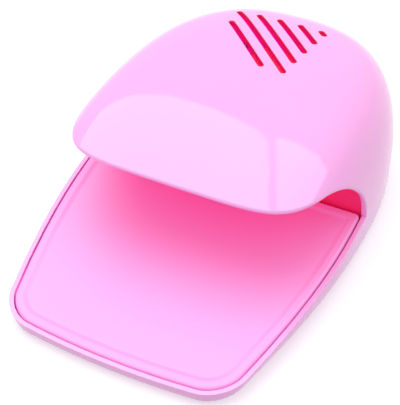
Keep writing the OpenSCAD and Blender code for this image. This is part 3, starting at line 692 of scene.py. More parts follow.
def copies_round_axis(name: str) -> Pattern:
    """Make a tree that sets copies of an object round the Y axis and carries them to a centre.

    Args:
        name: Name of the tree.

    Returns:
        The pattern, whose inputs are Copy, Count, Centre and Material.
    """
    p = Pattern(name, Copy="Object", Count="Int", Centre="Vector")
    t = p.t
    points = t.add("GeometryNodePoints", Count=p.get("Count"))
    step = t.math("DIVIDE", 2 * math.pi, p.get("Count"))
    angle = t.math("MULTIPLY", t.add("GeometryNodeInputIndex").outputs[0], step)
    turn = t.add("ShaderNodeCombineXYZ", Y=angle)
    ring = p.copies(points.outputs[0], Rotation=turn.outputs[0])
    moved = t.add("GeometryNodeTransform", Geometry=ring, Translation=p.get("Centre"))
    joined = t.add("GeometryNodeJoinGeometry")
    t.link(moved.outputs[0], joined.inputs[0])
    t.link(p.get("Geometry"), joined.inputs[0])
    p.finish(joined.outputs[0])
    return p


def tube_on_path(name: str) -> Pattern:
    """Make a tree that runs a round tube along the edges of its host.

    Args:
        name: Name of the tree.

    Returns:
        The pattern, whose inputs are Radius, Sides, Rings and Material.
    """
    p = Pattern(name, Radius="Float", Sides="Int", Rings="Int")
    t = p.t
    curve = t.add("GeometryNodeMeshToCurve", Mesh=p.get("Geometry"))
    spline = t.add("GeometryNodeCurveSplineType", {"spline_type": "CATMULL_ROM"},
                   Curve=curve.outputs[0])
    even = t.add("GeometryNodeResampleCurve", Curve=spline.outputs[0], Count=p.get("Rings"))
    p.finish(p.tube(even.outputs[0], p.get("Sides"), "Radius"))
    return p


def coil_on_axis(name: str) -> Pattern:
    """Make a tree that winds a spring about Z and carries it to its seat.

    Args:
        name: Name of the tree.

    Returns:
        The pattern, whose inputs are Turns, Start, End, Length, Wire, Seat, Turn and Material.
    """
    p = Pattern(name, Turns="Float", Start="Float", End="Float", Length="Float", Wire="Float",
                Seat="Vector", Turn="Vector")
    t = p.t
    coil = t.add("GeometryNodeCurveSpiral", Resolution=24, Rotations=p.get("Turns"),
                 Start_Radius=p.get("Start"), End_Radius=p.get("End"), Height=p.get("Length"))
    moved = t.add("GeometryNodeTransform", Geometry=p.tube(coil.outputs[0], 10, "Wire"),
                  Translation=p.get("Seat"), Rotation=p.get("Turn"))
    p.finish(moved.outputs[0])
    return p


def points_host(name: str, places: Sequence[Sequence[float]],
                turn: Sequence[float] = (0.0, 0.0, 0.0)) -> Piece:
    """Make an object of bare points in mirrored pairs, which all have one turn.

    Args:
        name: Name of the object.
        places: The right-hand point of each pair, in millimetres.
        turn: The XYZ turn in radians.

    Returns:
        The new object.
    """
    points = [(side * x * MM, y * MM, z * MM) for x, y, z in places for side in (-1, 1)]
    host = from_faces(name, points, [])
    turns = host.data.attributes.new("turn", "FLOAT_VECTOR", "POINT")
    turns.data.foreach_set("vector", [*turn] * len(points))
    return host


def turned(name: str, profile: Sequence[tuple[float, float]], sides: int = 48) -> Piece:
    """Turn a profile about Z into a closed piece.

    Args:
        name: Name of the object.
        profile: Radius and height of each point, from the foot of the axis to its top.
        sides: Number of sides.

    Returns:
        The new object.
    """
    rings = profile[1:-1]
    points = [
        (r * math.cos(2 * math.pi * j / sides), r * math.sin(2 * math.pi * j / sides), z)
        for r, z in rings
        for j in range(sides)
    ]
    points += [(0, 0, profile[0][1]), (0, 0, profile[-1][1])]
    faces = skin_faces(len(rings), sides, len(points) - 2, len(points) - 1)
    return from_faces(name, points, faces)


# ---- Shape of the body


@dataclass(frozen=True)
class Plan:
    """Sizes of the body that several pieces share, in millimetres."""

    length: float = 141.4
    width: float = 90.6
    height: float = 45.8
    seam_z: float = 14.1
    wide_y: float = 8.1
    back_full: float = 2.52
    nose_y: float = -85.3
    nose_full: float = 2.52
    crown_y: float = 10.0
    crown_fall: float = 14.4
    front_slope: tuple[float, float] = (7.89, 2.24)
    back_slope: tuple[float, float] = (6.84, 1.95)
    mouth_y: float = 5.9
    mouth_r: float = 22.0
    lip_z: float = 35.4
    lip_rise: float = 0.09
    wall: float = 1.6
    fan_z: float = 27.5

    @property
    def half_width(self) -> float:
        """Half the width of the body."""
        return self.width / 2

    @property
    def back(self) -> float:
        """Y of the back end."""
        return self.length / 2


@dataclass
class Dome:
    """The dome of the hood as a function of plan direction and rise.

    Attributes:
        plan: Sizes of the body.
    """

    plan: Plan

    def __post_init__(self) -> None:
        """Work out the arch that the middle of the rounded lip follows."""
        p = self.plan
        self.arch_r = p.mouth_r + p.wall / 2
        self.arch_y = p.mouth_y - p.mouth_r
        reach = (p.wide_y - self.arch_y - self.arch_r) / (p.wide_y - p.nose_y)
        self.corner = -math.asin(reach ** (p.nose_full / 2))

    def rim(self, q: np.ndarray) -> np.ndarray:
        """Plan of the dome at the seam, over direction q in radians."""
        p = self.plan
        n = np.where(np.sin(q) < 0, p.nose_full, p.back_full)
        b = np.where(np.sin(q) < 0, p.wide_y - p.nose_y, p.back - p.wide_y)
        c, s = np.cos(q), np.sin(q)
        return np.stack([p.half_width * np.sign(c) * np.abs(c) ** (2 / n),
                         p.wide_y + b * np.sign(s) * np.abs(s) ** (2 / n)], -1)

    def crown(self, y: np.ndarray) -> np.ndarray:
        """Height of the crown over the seam, over y."""
        p = self.plan
        return p.height - p.seam_z - p.crown_fall * (np.minimum(y - p.crown_y, 0) / 60) ** 2

    def slopes(self, d: np.ndarray) -> tuple[np.ndarray, np.ndarray]:
        """Fullness along the run and in height, for direction d from the crown."""
        p = self.plan
        v = (1 - d[..., 1] / np.hypot(d[..., 0], d[..., 1])) / 2
        share = v * v * (3 - 2 * v)
        return tuple(b + (f - b) * share for f, b in zip(p.front_slope, p.back_slope))

    def point(self, q: np.ndarray, f: np.ndarray) -> np.ndarray:
        """Point of the dome in plan direction q, from the seam at f = 0 to the crown.

        Args:
            q: Direction in radians.
            f: Rise in radians, up to a quarter turn.

        Returns:
            Positions in millimetres.
        """
        p = self.plan
        d = self.rim(q) - np.array([0, p.crown_y])
        along, tall = self.slopes(d)
        s = np.cos(f)
        y = p.crown_y + s * d[..., 1]
        z = p.seam_z + self.crown(y) * np.maximum(1 - s**along, 0) ** (1 / tall)
        return np.stack([s * d[..., 0], y, z], -1)

    def mouth(self, y: np.ndarray) -> np.ndarray:
        """Height of the middle of the mouth's edge over y."""
        p = self.plan
        lip = p.lip_z + p.wall / 2 - p.lip_rise * y
        drop_y = np.clip(y - self.arch_y, 0, self.arch_r)
        arch = self.arch_r - np.sqrt(np.maximum(self.arch_r**2 - drop_y**2, 0))
        return np.where(y >= self.arch_y + self.arch_r, 0, lip - arch)

    def leave(self, q: np.ndarray) -> np.ndarray:
        """Rise at which direction q leaves the mouth, by halving."""
        low, high = np.zeros_like(q), np.full_like(q, math.pi / 2)
        for _ in range(40):
            mid = (low + high) / 2
            p = self.point(q, mid)
            out = p[..., 2] > self.mouth(p[..., 1])
            low, high = np.where(out, low, mid), np.where(out, mid, high)
        return np.where(q < self.corner, high, 0)

    def height(self, x: float, y: float) -> float:
        """Height of the dome over one plan point, by a search over its direction."""
        p = self.plan
        want = math.atan2(y - p.crown_y, x)
        q = np.linspace(-math.pi / 2, math.pi * 1.5, 4001)
        d = self.rim(q) - np.array([0, p.crown_y])
        gap = np.angle(np.exp(1j * (np.arctan2(d[:, 1], d[:, 0]) - want)))
        i = int(np.argmin(np.abs(gap)))
        s = min(1.0, math.hypot(x, y - p.crown_y) / float(np.hypot(*d[i])))
        return float(self.point(q[i : i + 1], np.array([math.acos(s)]))[0, 2])


# ---- Sub-assemblies


@dataclass
class Hood:
    """The domed hood with its mouth, rounded lip and slanted air slots.

    Attributes:
        shop: The shop that hands pieces over.
        dome: The shape of the dome.
        columns: Columns at the front and at the back, on each side.
        rings: Rings from the edge to the crown.
        slots: Number of air slots.
        slot_width: Width of a slot in millimetres.
        pitch: Distance between slots in millimetres.
        first: Distance of the first slot from the middle, in millimetres.
        row_y: Row that the slots start from, in millimetres.
        row_x: Row that they end at, in millimetres.
        row_lean: How far the row of ends leans.
        row_from: Where the lean starts, in millimetres.
        trim: How much is left off each end of the first slot, in millimetres.
        flare: How much a slot widens at each level over the surface, in millimetres.
        reach: How far a cutter starts over the seam and ends over the crown.
    """

    shop: Shop
    dome: Dome
    columns: tuple[int, int] = (96, 60)
    rings: int = 48
    slots: int = 6
    slot_width: float = 1.6
    pitch: float = 5.05
    first: float = 17.6
    row_y: float = 49.0
    row_x: float = 10.0
    row_lean: float = 0.12
    row_from: float = 22.6
    trim: float = 1.5
    flare: tuple = ((-0.4, 0.0), (-0.15, 0.07), (0.0, 0.22), (0.2, 0.5))
    reach: tuple[float, float] = (20.0, 4.0)

    def grid(self) -> tuple[np.ndarray, np.ndarray]:
        """Return the outer points, ring by ring, and how far each column is along the lip."""
        front, back = self.columns
        c = self.dome.corner
        i = np.arange(front, -1, -1)
        q = np.concatenate([c - (math.pi / 2 + c) * (i / front) ** 1.8,
                            np.linspace(0, math.pi / 2, back + 1)])
        f0 = self.dome.leave(q)
        share = np.clip(np.concatenate([i, np.zeros(back + 1)]) / (front / 8), 0, 1)
        half = np.array([self.dome.point(q, f0 + (math.pi / 2 - f0) * k / self.rings)
                         for k in range(self.rings)])
        left = half[:, -2:0:-1] * np.array([-1, 1, 1])
        return np.concatenate([half, left], 1), np.concatenate([share, share[-2:0:-1]])

    def shell(self) -> Piece:
        """Build the shell with an even wall and a rounded lip."""
        grid, share = self.grid()
        wall = self.dome.plan.wall
        tip = np.array([0, self.dome.plan.crown_y, self.dome.plan.height])
        run = np.roll(grid, -1, 1) - np.roll(grid, 1, 1)
        above = np.concatenate([grid[1:], np.broadcast_to(tip, grid[:1].shape)])
        below = np.concatenate([grid[:1], grid[:-1]])
        normal = np.cross(run, above - below)
        normal[0, share == 0, 2] = 0
        normal /= np.linalg.norm(normal, axis=-1, keepdims=True)
        inner = grid - wall * normal
        down = np.cross(run[0], normal[0])
        down /= np.linalg.norm(down, axis=-1, keepdims=True)
        edge = [grid[0] - wall / 2 * (1 + math.cos(a)) * normal[0]
                + (wall / 2 * math.sin(a) * share)[:, None] * down
                for a in np.linspace(0, math.pi, 10)[1:-1]]
        rings = [*inner[::-1], *edge, *grid]
        points = np.concatenate([*rings, [tip], [tip - [0, 0, wall]]]) * MM
        n = grid.shape[1]
        faces = skin_faces(len(rings), n, len(points) - 1, len(points) - 2)
        piece = from_faces("hood", points, faces)
        for finish in (DOME, LINING_PAINTED_SHADE):
            piece.data.materials.append(finish.build())
        # Inner faces and the inner tip get the lining, whose hot pink paints the shade inside the
        # hood.
        painted_shade_points = len(inner) * n
        for face in piece.data.polygons:
            if min(face.vertices) < painted_shade_points - n or len(points) - 1 in face.vertices:
                face.material_index = 1
        return piece

    def spans(self) -> list[tuple[np.ndarray, np.ndarray]]:
        """Return the two ends of each slot in plan, in millimetres."""
        root = math.sqrt(2)
        out = []
        for i in range(self.slots):
            far = self.first + i * self.pitch
            k = self.first + (2 if i == 0 else i) * self.pitch
            trim = self.trim if i == 0 else 0
            start = k - root * self.row_y + trim
            end = (root * (self.row_x - self.row_lean * self.row_from)
                   - (1 - self.row_lean) * k) / (1 + self.row_lean) - trim
            out.append(tuple(np.array([(far + a) / root, (far - a) / root])
                             for a in (start, end)))
        return out

    def cutters(self) -> Piece:
        """Build the slot cutters, which flare where they leave the surface."""
        points: list = []
        faces: list = []
        half = self.slot_width / 2
        floor, roof = self.dome.plan.seam_z + self.reach[0], self.dome.plan.height + self.reach[1]
        for a, b in self.spans():
            u = (b - a) / np.linalg.norm(b - a)
            v = np.array([-u[1], u[0]])
            rim = [(p, math.pi / 2 * s + math.pi * k / 8)
                   for p, s in ((b, -1), (a, 1)) for k in range(9)]
            steps = np.linspace(0, 1, 14)[1:-1]
            rim = ([(b, g) for _, g in rim[:9]]
                   + [(b + (a - b) * t, math.pi / 2) for t in steps]
                   + [(a, g) for _, g in rim[9:]]
                   + [(a + (b - a) * t, -math.pi / 2) for t in steps])
            base = len(points)
            out = [math.cos(g) * u + math.sin(g) * v for _, g in rim]
            tall = [self.dome.height(*(p + half * w)) for (p, _), w in zip(rim, out)]
            layers = [(0.0, [floor] * len(rim)),
                      *((g, [z + lift for z in tall]) for lift, g in self.flare),
                      (self.flare[-1][1], [roof] * len(rim))]
            for grow, heights in layers:
                points += [(*((p + (half + grow) * w) * MM), z * MM)
                           for (p, _), w, z in zip(rim, out, heights)]
            faces += [[base + j for j in f] for f in skin_faces(len(layers), len(rim), None, None)]
        cutter = from_faces("slot_cutter", points, faces)
        outward(cutter)
        return cutter

    def build(self) -> None:
        """Build the hood, cut its slots and hand it over."""
        piece = self.shell()
        cutter = self.cutters()
        # The slot walls take a dark red that paints the shade inside the slots.
        cutter.data.materials.append(CUT_PAINTED_SHADE.build())
        cut_out(piece, cutter, materials="TRANSFER")
        soften(piece, 38)
        even_out(piece)
        self.shop.hand_over(piece, Body.BASE, DOME, "shell", "upper_hood")


@dataclass
class Case:
    """The lower case, its rubber feet and its inner panel.

    Attributes:
        shop: The shop that hands pieces over.
        foot_r: Radius of a foot in millimetres.
        foot_h: Height of a foot, with what is sunk in the case.
        feet: Places of the right-hand feet in millimetres.
        rim: Y and height of the tray's rim at its front, and how steeply it climbs.
        bead: Radius of the rounded rim in millimetres.
        rim_end: Y where the hood takes over from the rim.
        near: How far off the rim's slope a corner may lie.
    """

    shop: Shop
    foot_r: float = 3.2
    foot_h: float = 1.6
    feet: tuple = ((26.0, -57.0), (33.6, 41.0))
    rim: tuple[float, float, float] = (-70.6, 5.1, 0.11765)
    bead: float = 0.45
    rim_end: float = 4.5
    near: float = 0.03

    def round_rim(self, bm: bmesh.types.BMesh) -> None:
        """Round both edges of the tray's rim, up to the hood."""
        y_at, z_at, slope = self.rim

        def on_rim(vert: bmesh.types.BMVert) -> bool:
            y, z = vert.co.y / MM, vert.co.z / MM
            return y < self.rim_end and abs(z - z_at - slope * (y - y_at)) < self.near

        edges = [e for e in bm.edges if len(e.link_faces) == 2 and all(map(on_rim, e.verts))
                 and e.calc_face_angle() > CORNER]
        bmesh.ops.bevel(bm, geom=edges, offset=self.bead * MM, segments=4, profile=0.5,
                        affect="EDGES", clamp_overlap=True)
        log.info("rounded %d edges of the rim", len(edges))

    def build(self) -> None:
        """Build the case, the panel and the feet."""
        self.shop.dress("lower_case", "tray_case", SHELL, "shell", trim=self.round_rim)
        # The panel's deep pink paints the shade inside the hood.
        self.shop.dress("inner_panel", "grille_panel", INSIDE_PAINTED_SHADE, "panel")
        r, h = self.foot_r * MM, self.foot_h * MM
        corner = 0.0005
        arc = [(r - corner + corner * math.sin(a), corner - corner * math.cos(a))
               for a in np.linspace(0, math.pi / 2, 6)]
        dent = 0.00025
        foot = turned("foot", [(0, dent), (r * 0.45, dent), (r * 0.55, 0.0), *arc, (r, h), (0, h)])
        host = points_host("rubber_pads", [(x, y, 0) for x, y in self.feet])
        copies_on_points("pads_on_points").run(host, FEET.build(), Copy=foot, Size=1.0)
        drop(foot)
        self.shop.hand_over(host, Body.BASE, FEET, "feet", "rubber_feet")


@dataclass
class HandPlate:
    """The hinged plate with its raised border, and its pins and springs.

    Attributes:
        shop: The shop that hands pieces over.
        spring_xy: Place of the right-hand spring in millimetres.
        spring_z: Lowest and highest point of a spring in millimetres.
        spring_r: Radius of a spring in millimetres, to the middle of its wire.
        wire_r: Radius of the springs' wire in millimetres.
        turns: Turns of a spring.
        hinge_y: Y of the hinge in millimetres; not used.
        press: Angle of the pressed plate in degrees; not used.
        corner: X and Y of the right-hand back corner in millimetres.
        border: How far in the border's lines start, and how much nearer each ring is.
        field_d: Depth of the field inside the border in millimetres.
        field: Y and height of a point of the field, and how steeply the field climbs.
        near: How far off the field or the border's top a corner may lie.
        from_x: Nearest X of what belongs to a back corner.
    """

    shop: Shop
    spring_xy: tuple[float, float] = (22.0, -8.0)
    spring_z: tuple[float, float] = (2.75, 10.05)
    spring_r: float = 3.0
    wire_r: float = 0.35
    turns: float = 4.75
    hinge_y: float = -54.0
    press: float = 2.0
    corner: tuple[float, float] = (41.905, 5.1)
    border: tuple[float, float] = (2.1, 0.375)
    field_d: float = 0.4
    field: tuple[float, float, float] = (3.0, 13.659, 0.1175)
    near: float = 0.01
    from_x: float = 39.0

    def square_corners(self, bm: bmesh.types.BMesh) -> None:
        """Let the inner lines of the border meet in a point at the two back corners."""
        y_at, z_at, slope = self.field
        for vert in bm.verts:
            x, y, z = abs(vert.co.x) / MM, vert.co.y / MM, vert.co.z / MM
            lift = z - z_at - slope * (y - y_at)
            if not (-self.near < lift < self.field_d + self.near
                    and self.from_x < x < self.corner[0] + self.near):
                continue
            ring = round(math.acos(max(-1.0, min(1.0, 1 - 2 * lift / self.field_d))) * 4 / math.pi)
            far = self.border[0] - self.border[1] * ring
            if y > self.corner[1] - far - 0.002 and y < self.corner[1]:
                y_to = self.corner[1] - far
                vert.co = Vector((math.copysign(self.corner[0] - far, vert.co.x), y_to,
                                  z_at + slope * (y_to - y_at) + lift)) * MM

    def build(self) -> None:
        """Build the plate, the pins and the springs."""
        self.shop.dress("hand_plate", "hand_plate_top", PLATE, "shell", Body.PLATE,
                        mend=self.square_corners)
        self.shop.dress("hinge_pins", "pins", STEEL, "steel", bevel=0.0001)
        low, high = self.spring_z
        for side, node in ((-1, "return_spring_left"), (1, "return_spring_right")):
            host = from_faces(node.replace("return", "plate"), [(0, 0, 0)], [])
            coil_on_axis("coil_" + node).run(
                host, WIRE_STEEL.build(), Turns=self.turns, Start=self.spring_r * MM,
                End=self.spring_r * MM, Length=(high - low - 2 * self.wire_r) * MM,
                Wire=self.wire_r * MM, Turn=(0.0, 0.0, 0.0),
                Seat=(side * self.spring_xy[0] * MM, self.spring_xy[1] * MM,
                      (low + self.wire_r) * MM))
            self.shop.hand_over(host, Body.BASE, WIRE_STEEL, "spring_steel", node)
            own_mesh(host)


@dataclass
class Fan:
    """The motor on its cradle and the fan on its shaft.

    Attributes:
        shop: The shop that hands pieces over.
        plan: Sizes of the body.
        hub_y: Front of the hub in millimetres.
        hub_l: Length of the hub.
        hub_r: Radius of the hub.
        blades: Number of blades.
        root: Radius, pitch in degrees and chord of a blade at the hub.
        tip: The same at its tip.
        blade_t: Thickness of a blade.
        camber: How far a blade bows.
        clip: How much of the chord is clipped off at the tip, over the outer fifth.
    """

    shop: Shop
    plan: Plan
    hub_y: float = 12.0
    hub_l: float = 6.0
    hub_r: float = 4.2
    blades: int = 5
    root: tuple[float, float, float] = (3.8, 50.0, 6.6)
    tip: tuple[float, float, float] = (13.0, 28.0, 10.0)
    blade_t: float = 1.0
    camber: float = 0.8
    clip: float = 0.16

    def blade(self) -> Piece:
        """Build one twisted, cambered blade that points along X, with the axis on Y."""
        rings = []
        for f in np.linspace(0, 1, 13):
            r, pitch, chord = (a + (b - a) * f for a, b in zip(self.root, self.tip))
            chord *= 1 - self.clip * max(0.0, f - 0.8) / 0.2
            a = math.radians(pitch)
            ring = []
            for q in np.linspace(0, 2 * math.pi, 24, endpoint=False):
                u = chord / 2 * math.cos(q)
                s = math.sin(q)
                v = (self.blade_t / 2 * math.copysign(abs(s) ** 0.6, s)
                     + self.camber * (1 - (2 * u / chord) ** 2))
                w = u * math.cos(a) - v * math.sin(a)
                ring.append((math.sqrt(max(r * r - u * u / 4, 1.0)),
                             u * math.sin(a) + v * math.cos(a), -w))
            rings.append(ring)
        points = [np.array(p) * MM for ring in rings for p in ring]
        piece = from_faces("blade", points, skin_faces(len(rings), 24, None, None))
        outward(piece)
        return piece

    def hub(self) -> Piece:
        """Build the rounded hub about Y at its place."""
        r, h = self.hub_r, self.hub_l
        arc = [(r - 1.5 + 1.5 * math.sin(a), 1.5 - 1.5 * math.cos(a))
               for a in np.linspace(0.1, math.pi / 2, 7)]
        profile = [(0, 0), (r - 1.5, 0), *arc, (r, h - 0.3), (r - 0.3, h), (1.9, h), (1.6, h - 0.6),
                   (1.02, h - 0.6), (0, h - 0.6)]
        piece = turned("fan_wheel", [(a * MM, b * MM) for a, b in profile], 64)
        centre = Vector((0, self.hub_y, self.plan.fan_z)) * MM
        piece.data.transform(Matrix.Translation(centre) @ Matrix.Rotation(-math.pi / 2, 4, "X"))
        return piece

    def build(self) -> None:
        """Build the fan wheel, the shaft and the motor."""
        blade = self.blade()
        wheel = self.hub()
        copies_round_axis("blades_round_hub").run(
            wheel, BLADE.build(), Copy=blade, Count=self.blades,
            Centre=(0.0, (self.hub_y + self.hub_l / 2) * MM, self.plan.fan_z * MM))
        drop(blade)
        self.shop.hand_over(wheel, Body.ROTOR, BLADE, "impeller", "fan_impeller")
        for row in (("motor_shaft", "fan_shaft", STEEL, "steel", Body.ROTOR, 0.0001),
                    ("motor_can", "motor_body", CAN_STEEL, "motor_steel", Body.BASE, 0.0004),
                    ("motor_end_cap", "motor_cap", NATURAL, "motor_cap", Body.BASE, 0.0003),
                    ("motor_terminals", "motor_tabs", BRASS, "brass", Body.BASE, 0.00008),
                    # The motor clamp takes the deep pink that paints the shade inside the hood.
                    ("motor_clamp", "motor_cover", INSIDE_PAINTED_SHADE, "panel", Body.BASE, 0.0002)):
            self.shop.dress(*row)


@dataclass
class Switch:
    """The switch under the plate.

    Attributes:
        shop: The shop that hands pieces over.
    """

    shop: Shop

    def build(self) -> None:
        """Build the housing, the button and the tabs."""
        for row in (("switch_body", "switch_housing", BLACK, "switch_housing", Body.BASE),
                    ("switch_button", "switch_plunger", RED, "switch_button", Body.BUTTON),
                    ("switch_terminals", "switch_tabs", BRASS, "brass", Body.BASE)):
            self.shop.dress(*row, bevel=0.0001)


@dataclass
class Power:
    """The two cells, their contacts and the sliding cover.

    Attributes:
        shop: The shop that hands pieces over.
        cell_y: Axis of each cell in millimetres.
        cell_z: Height of the axes in millimetres.
        cell_r: Radius of a cell.
        cell_l: Length of a cell with its nub.
        bay: Half length of the bay.
        contact_t: Thickness of a contact.
        coil_r: Radius of a spring at its contact and at the cell.
        coil_wire: Radius of its wire.
        coil_turns: Its turns.
    """

    shop: Shop
    cell_y: tuple[float, float] = (29.9, 44.9)
    cell_z: float = 9.6
    cell_r: float = 7.1
    cell_l: float = 50.5
    bay: float = 28.0
    contact_t: float = 0.4
    coil_r: tuple[float, float] = (4.2, 2.2)
    coil_wire: float = 0.3
    coil_turns: float = 3.5

    def cell(self, name: str, y: float, way: int) -> Piece:
        """Build a cell with a rolled sleeve, whose nub points to +X or -X.

        Args:
            name: Name of the piece.
            y: Place of its axis.
            way: 1 for a nub on the right, -1 for the left.

        Returns:
            The cell.
        """
        r, h = self.cell_r, self.cell_l
        arc = [(r - 0.6 + 0.6 * math.sin(a), 0.6 - 0.6 * math.cos(a))
               for a in np.linspace(0, math.pi / 2, 6)]
        top = [(a, h - 1.0 - b) for a, b in arc[::-1]]
        profile = [(0, 0.3), (4.6, 0.3), (4.9, 0.0), (r - 1.1, 0.0), *arc, *top, (r - 1.1, h - 1.0),
                   (r - 1.5, h - 1.3), (3.1, h - 1.3), (2.75, h - 1.1), (2.75, h - 0.3), (2.45, h),
                   (0, h)]
        piece = turned(name, [(a * MM, b * MM) for a, b in profile], 72)
        end = (self.bay - self.contact_t - 0.1 - h) * way
        at = Matrix.Translation(Vector((end, y, self.cell_z)) * MM)
        piece.data.transform(at @ Matrix.Rotation(way * math.pi / 2, 4, "Y"))
        soften(piece, 35)
        piece.data.materials.append(
            Banded("cell_sleeve_" + name, (0.16, 0.42, 0.27), start=way * 0.012, flip=way < 0,
                   rough=0.3).build())
        piece.data.materials.append(NICKEL.build())
        for face in piece.data.polygons:
            out = math.hypot(face.center.y - y * MM, face.center.z - self.cell_z * MM)
            if out < (r - 1.6) * MM:
                face.material_index = 1
        return piece

    def build(self) -> None:
        """Build the cells, contacts, springs and cover."""
        for name, node, y, way in (("cell_front", "battery_front", self.cell_y[0], 1),
                                   ("cell_rear", "battery_rear", self.cell_y[1], -1)):
            self.shop.hand_over(self.cell(name, y, way), Body.BASE, NICKEL, "cell_jacket", node)
        for node in ("contact_bridge", "contact_positive", "contact_negative"):
            self.shop.dress(node, node.replace("contact", "strip"), NICKEL, "contact_plating",
                            bevel=0.00008)
        length = 2 * self.bay - 2 * self.contact_t - 0.1 - self.cell_l - 0.3 - 0.6
        halves = []
        for side, y in ((-1, self.cell_y[0]), (1, self.cell_y[1])):
            host = from_faces("cell_springs", [(0, 0, 0)], [])
            coil_on_axis("cell_coil").run(
                host, WIRE_STEEL.build(), Turns=self.coil_turns, Start=self.coil_r[0] * MM,
                End=self.coil_r[1] * MM, Length=length * MM, Wire=self.coil_wire * MM,
                Seat=(side * (self.bay - self.contact_t - 0.45) * MM, y * MM, self.cell_z * MM),
                Turn=(0.0, -side * math.pi / 2, 0.0))
            halves.append(host)
        with opened(halves[0]) as bm:
            bm.from_mesh(halves[1].data)
        drop(halves[1])
        self.shop.hand_over(halves[0], Body.BASE, WIRE_STEEL, "spring_steel", "battery_springs")
        self.shop.dress("battery_cover", "bay_cover", SHELL, "shell", Body.COVER, 0.00015)


@dataclass
class Wiring:
    """The three wires inside the case.

    Attributes:
        shop: The shop that hands pieces over.
        radius: Radius of a wire in millimetres.
        routes: Points along each wire in millimetres, as in the source.
    """

    shop: Shop
    radius: float = 0.65
    routes: dict = field(default_factory=lambda: {
        "wire_motor": ((-9.15, -2, 4), (-12, -2, 4), (-20, -0.5, 4.2), (-27, 2.5, 4.2),
                       (-31, 6.5, 4.4), (-31.6, 11, 4.6), (-31.6, 16, 7), (-31.6, 19.5, 13),
                       (-31, 24, 19), (-28, 31, 20.8), (-22, 40, 21.5), (-15, 48, 23),
                       (-9, 53.55, 26), (-6, 54.55, 27.3), (-5, 52.55, 27.5), (-5, 49.55, 27.5)),
        "wire_switch": ((9.15, -2, 4), (12, -2, 4), (20, -0.5, 4.2), (27, 2.5, 4.2), (31, 6.5, 4.4),
                        (31.6, 11, 4.6), (31.6, 16, 7), (31.6, 19.5, 13), (31, 23, 18.5),
                        (29.8, 26, 20.2), (28.7, 28.25, 20)),
        "wire_battery": ((27.45, 44.9, 19.9), (24, 45.2, 20), (18, 48, 21.5), (12, 52, 24.5),
                         (8, 54.55, 27), (5.6, 54.35, 27.5), (5, 52.55, 27.5), (5, 49.55, 27.5)),
    })

    def build(self) -> None:
        """Run a tube along each route."""
        sleeves = (SLEEVE_BLACK, SLEEVE_RED, SLEEVE_BLUE)
        for (node, route), finish in zip(self.routes.items(), sleeves):
            mesh = bpy.data.meshes.new(node)
            mesh.from_pydata([tuple(c * MM for c in p) for p in route],
                             [(i, i + 1) for i in range(len(route) - 1)], [])
            host = new_piece(node.replace("wire", "lead"), mesh)
            tube_on_path("tube_" + node).run(host, finish.build(), Radius=self.radius * MM,
                                             Sides=14, Rings=90)
            slot = finish.name.replace("sleeve", "wire")
            self.shop.hand_over(host, Body.BASE, finish, slot, node)


@dataclass
class Screws:
    """All screws, each with a pan head, a cross recess and a rolled thread.

    Attributes:
        shop: The shop that hands pieces over.
        shank_r: Radius of the shank in millimetres.
        head_r: Radius of the head.
        head_h: Height of the head.
        core: Radius of the thread's core, as a share of the shank's.
        pitch: Distance between threads.
        slot: Half width and half thickness of an arm of the cross.
    """

    shop: Shop
    shank_r: float = 1.1
    head_r: float = 2.4
    head_h: float = 1.7
    core: float = 0.8
    pitch: float = 0.8
    slot: tuple[float, float] = (1.5, 0.3)

    def screw(self, length: float) -> Piece:
        """Build a screw that points down from the origin.

        Args:
            length: Length of the shank in millimetres.

        Returns:
            The screw.
        """
        r, hr, hh = self.shank_r, self.head_r, self.head_h
        thread = []
        z = -length + 1.0
        while z < -1.0:
            thread += [(r * self.core, z), (r, z + 0.25), (r, z + 0.35), (r * self.core, z + 0.6)]
            z += self.pitch
        dome = [(hr, 0.0), (hr, 0.45 * hh)] + [
            (hr * (0.62 + 0.38 * math.cos(a)), hh * (0.45 + 0.55 * math.sin(a)))
            for a in np.linspace(0.3, math.pi / 2, 6)]
        profile = [(0, -length), (0.25, -length), *thread, (r * 0.95, -0.3), (r, -0.02),
                   (hr - 0.1, -0.0), *dome, (0, hh)]
        piece = turned("screw_%g" % length, [(a * MM, b * MM) for a, b in profile], 32)
        wide, deep = self.slot
        faces = skin_faces(2, 4, None, None)
        bits = []
        for turn in (0, math.pi / 2):
            corners = [(sx * wide * k, sy * deep * k2, z)
                       for z, k, k2 in ((hh - 0.8, 0.7, 0.7), (hh + 0.1, 1.05, 1.1))
                       for sx, sy in ((-1, -1), (1, -1), (1, 1), (-1, 1))]
            bit = from_faces("bit", [np.array(c) * MM for c in corners], faces[4:] + faces[:4])
            bit.data.transform(Matrix.Rotation(turn, 4, "Z"))
            bits.append(bit)
        cut_out(piece, *bits)
        return piece

    def build(self) -> None:
        """Set each group of screws on its points."""
        flip = (math.pi, 0.0, 0.0)
        up = (0.0, 0.0, 0.0)
        groups = {
            "case_screws": (13.7, flip, [(37.5, 19, 11), (20, 61, 11)]),
            "panel_screws": (8.0, up, [(26, 14.5, 14)]),
            "clamp_screws": (7.0, up, [(14.6, 31, 27.2)]),
        }
        for node, (length, turn, places) in groups.items():
            low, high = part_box(node)
            copy = self.screw(length)
            host = points_host(node.replace("screws", "fasteners"), places, turn)
            copies_on_points("set_" + node).run(host, STEEL.build(), CREASE, Copy=copy, Size=1.0)
            drop(copy)
            log.info("%s: node from %s to %s", node, tuple(low), tuple(high))
            self.shop.hand_over(host, Body.BASE, STEEL, "steel", node)


# ---- Studio


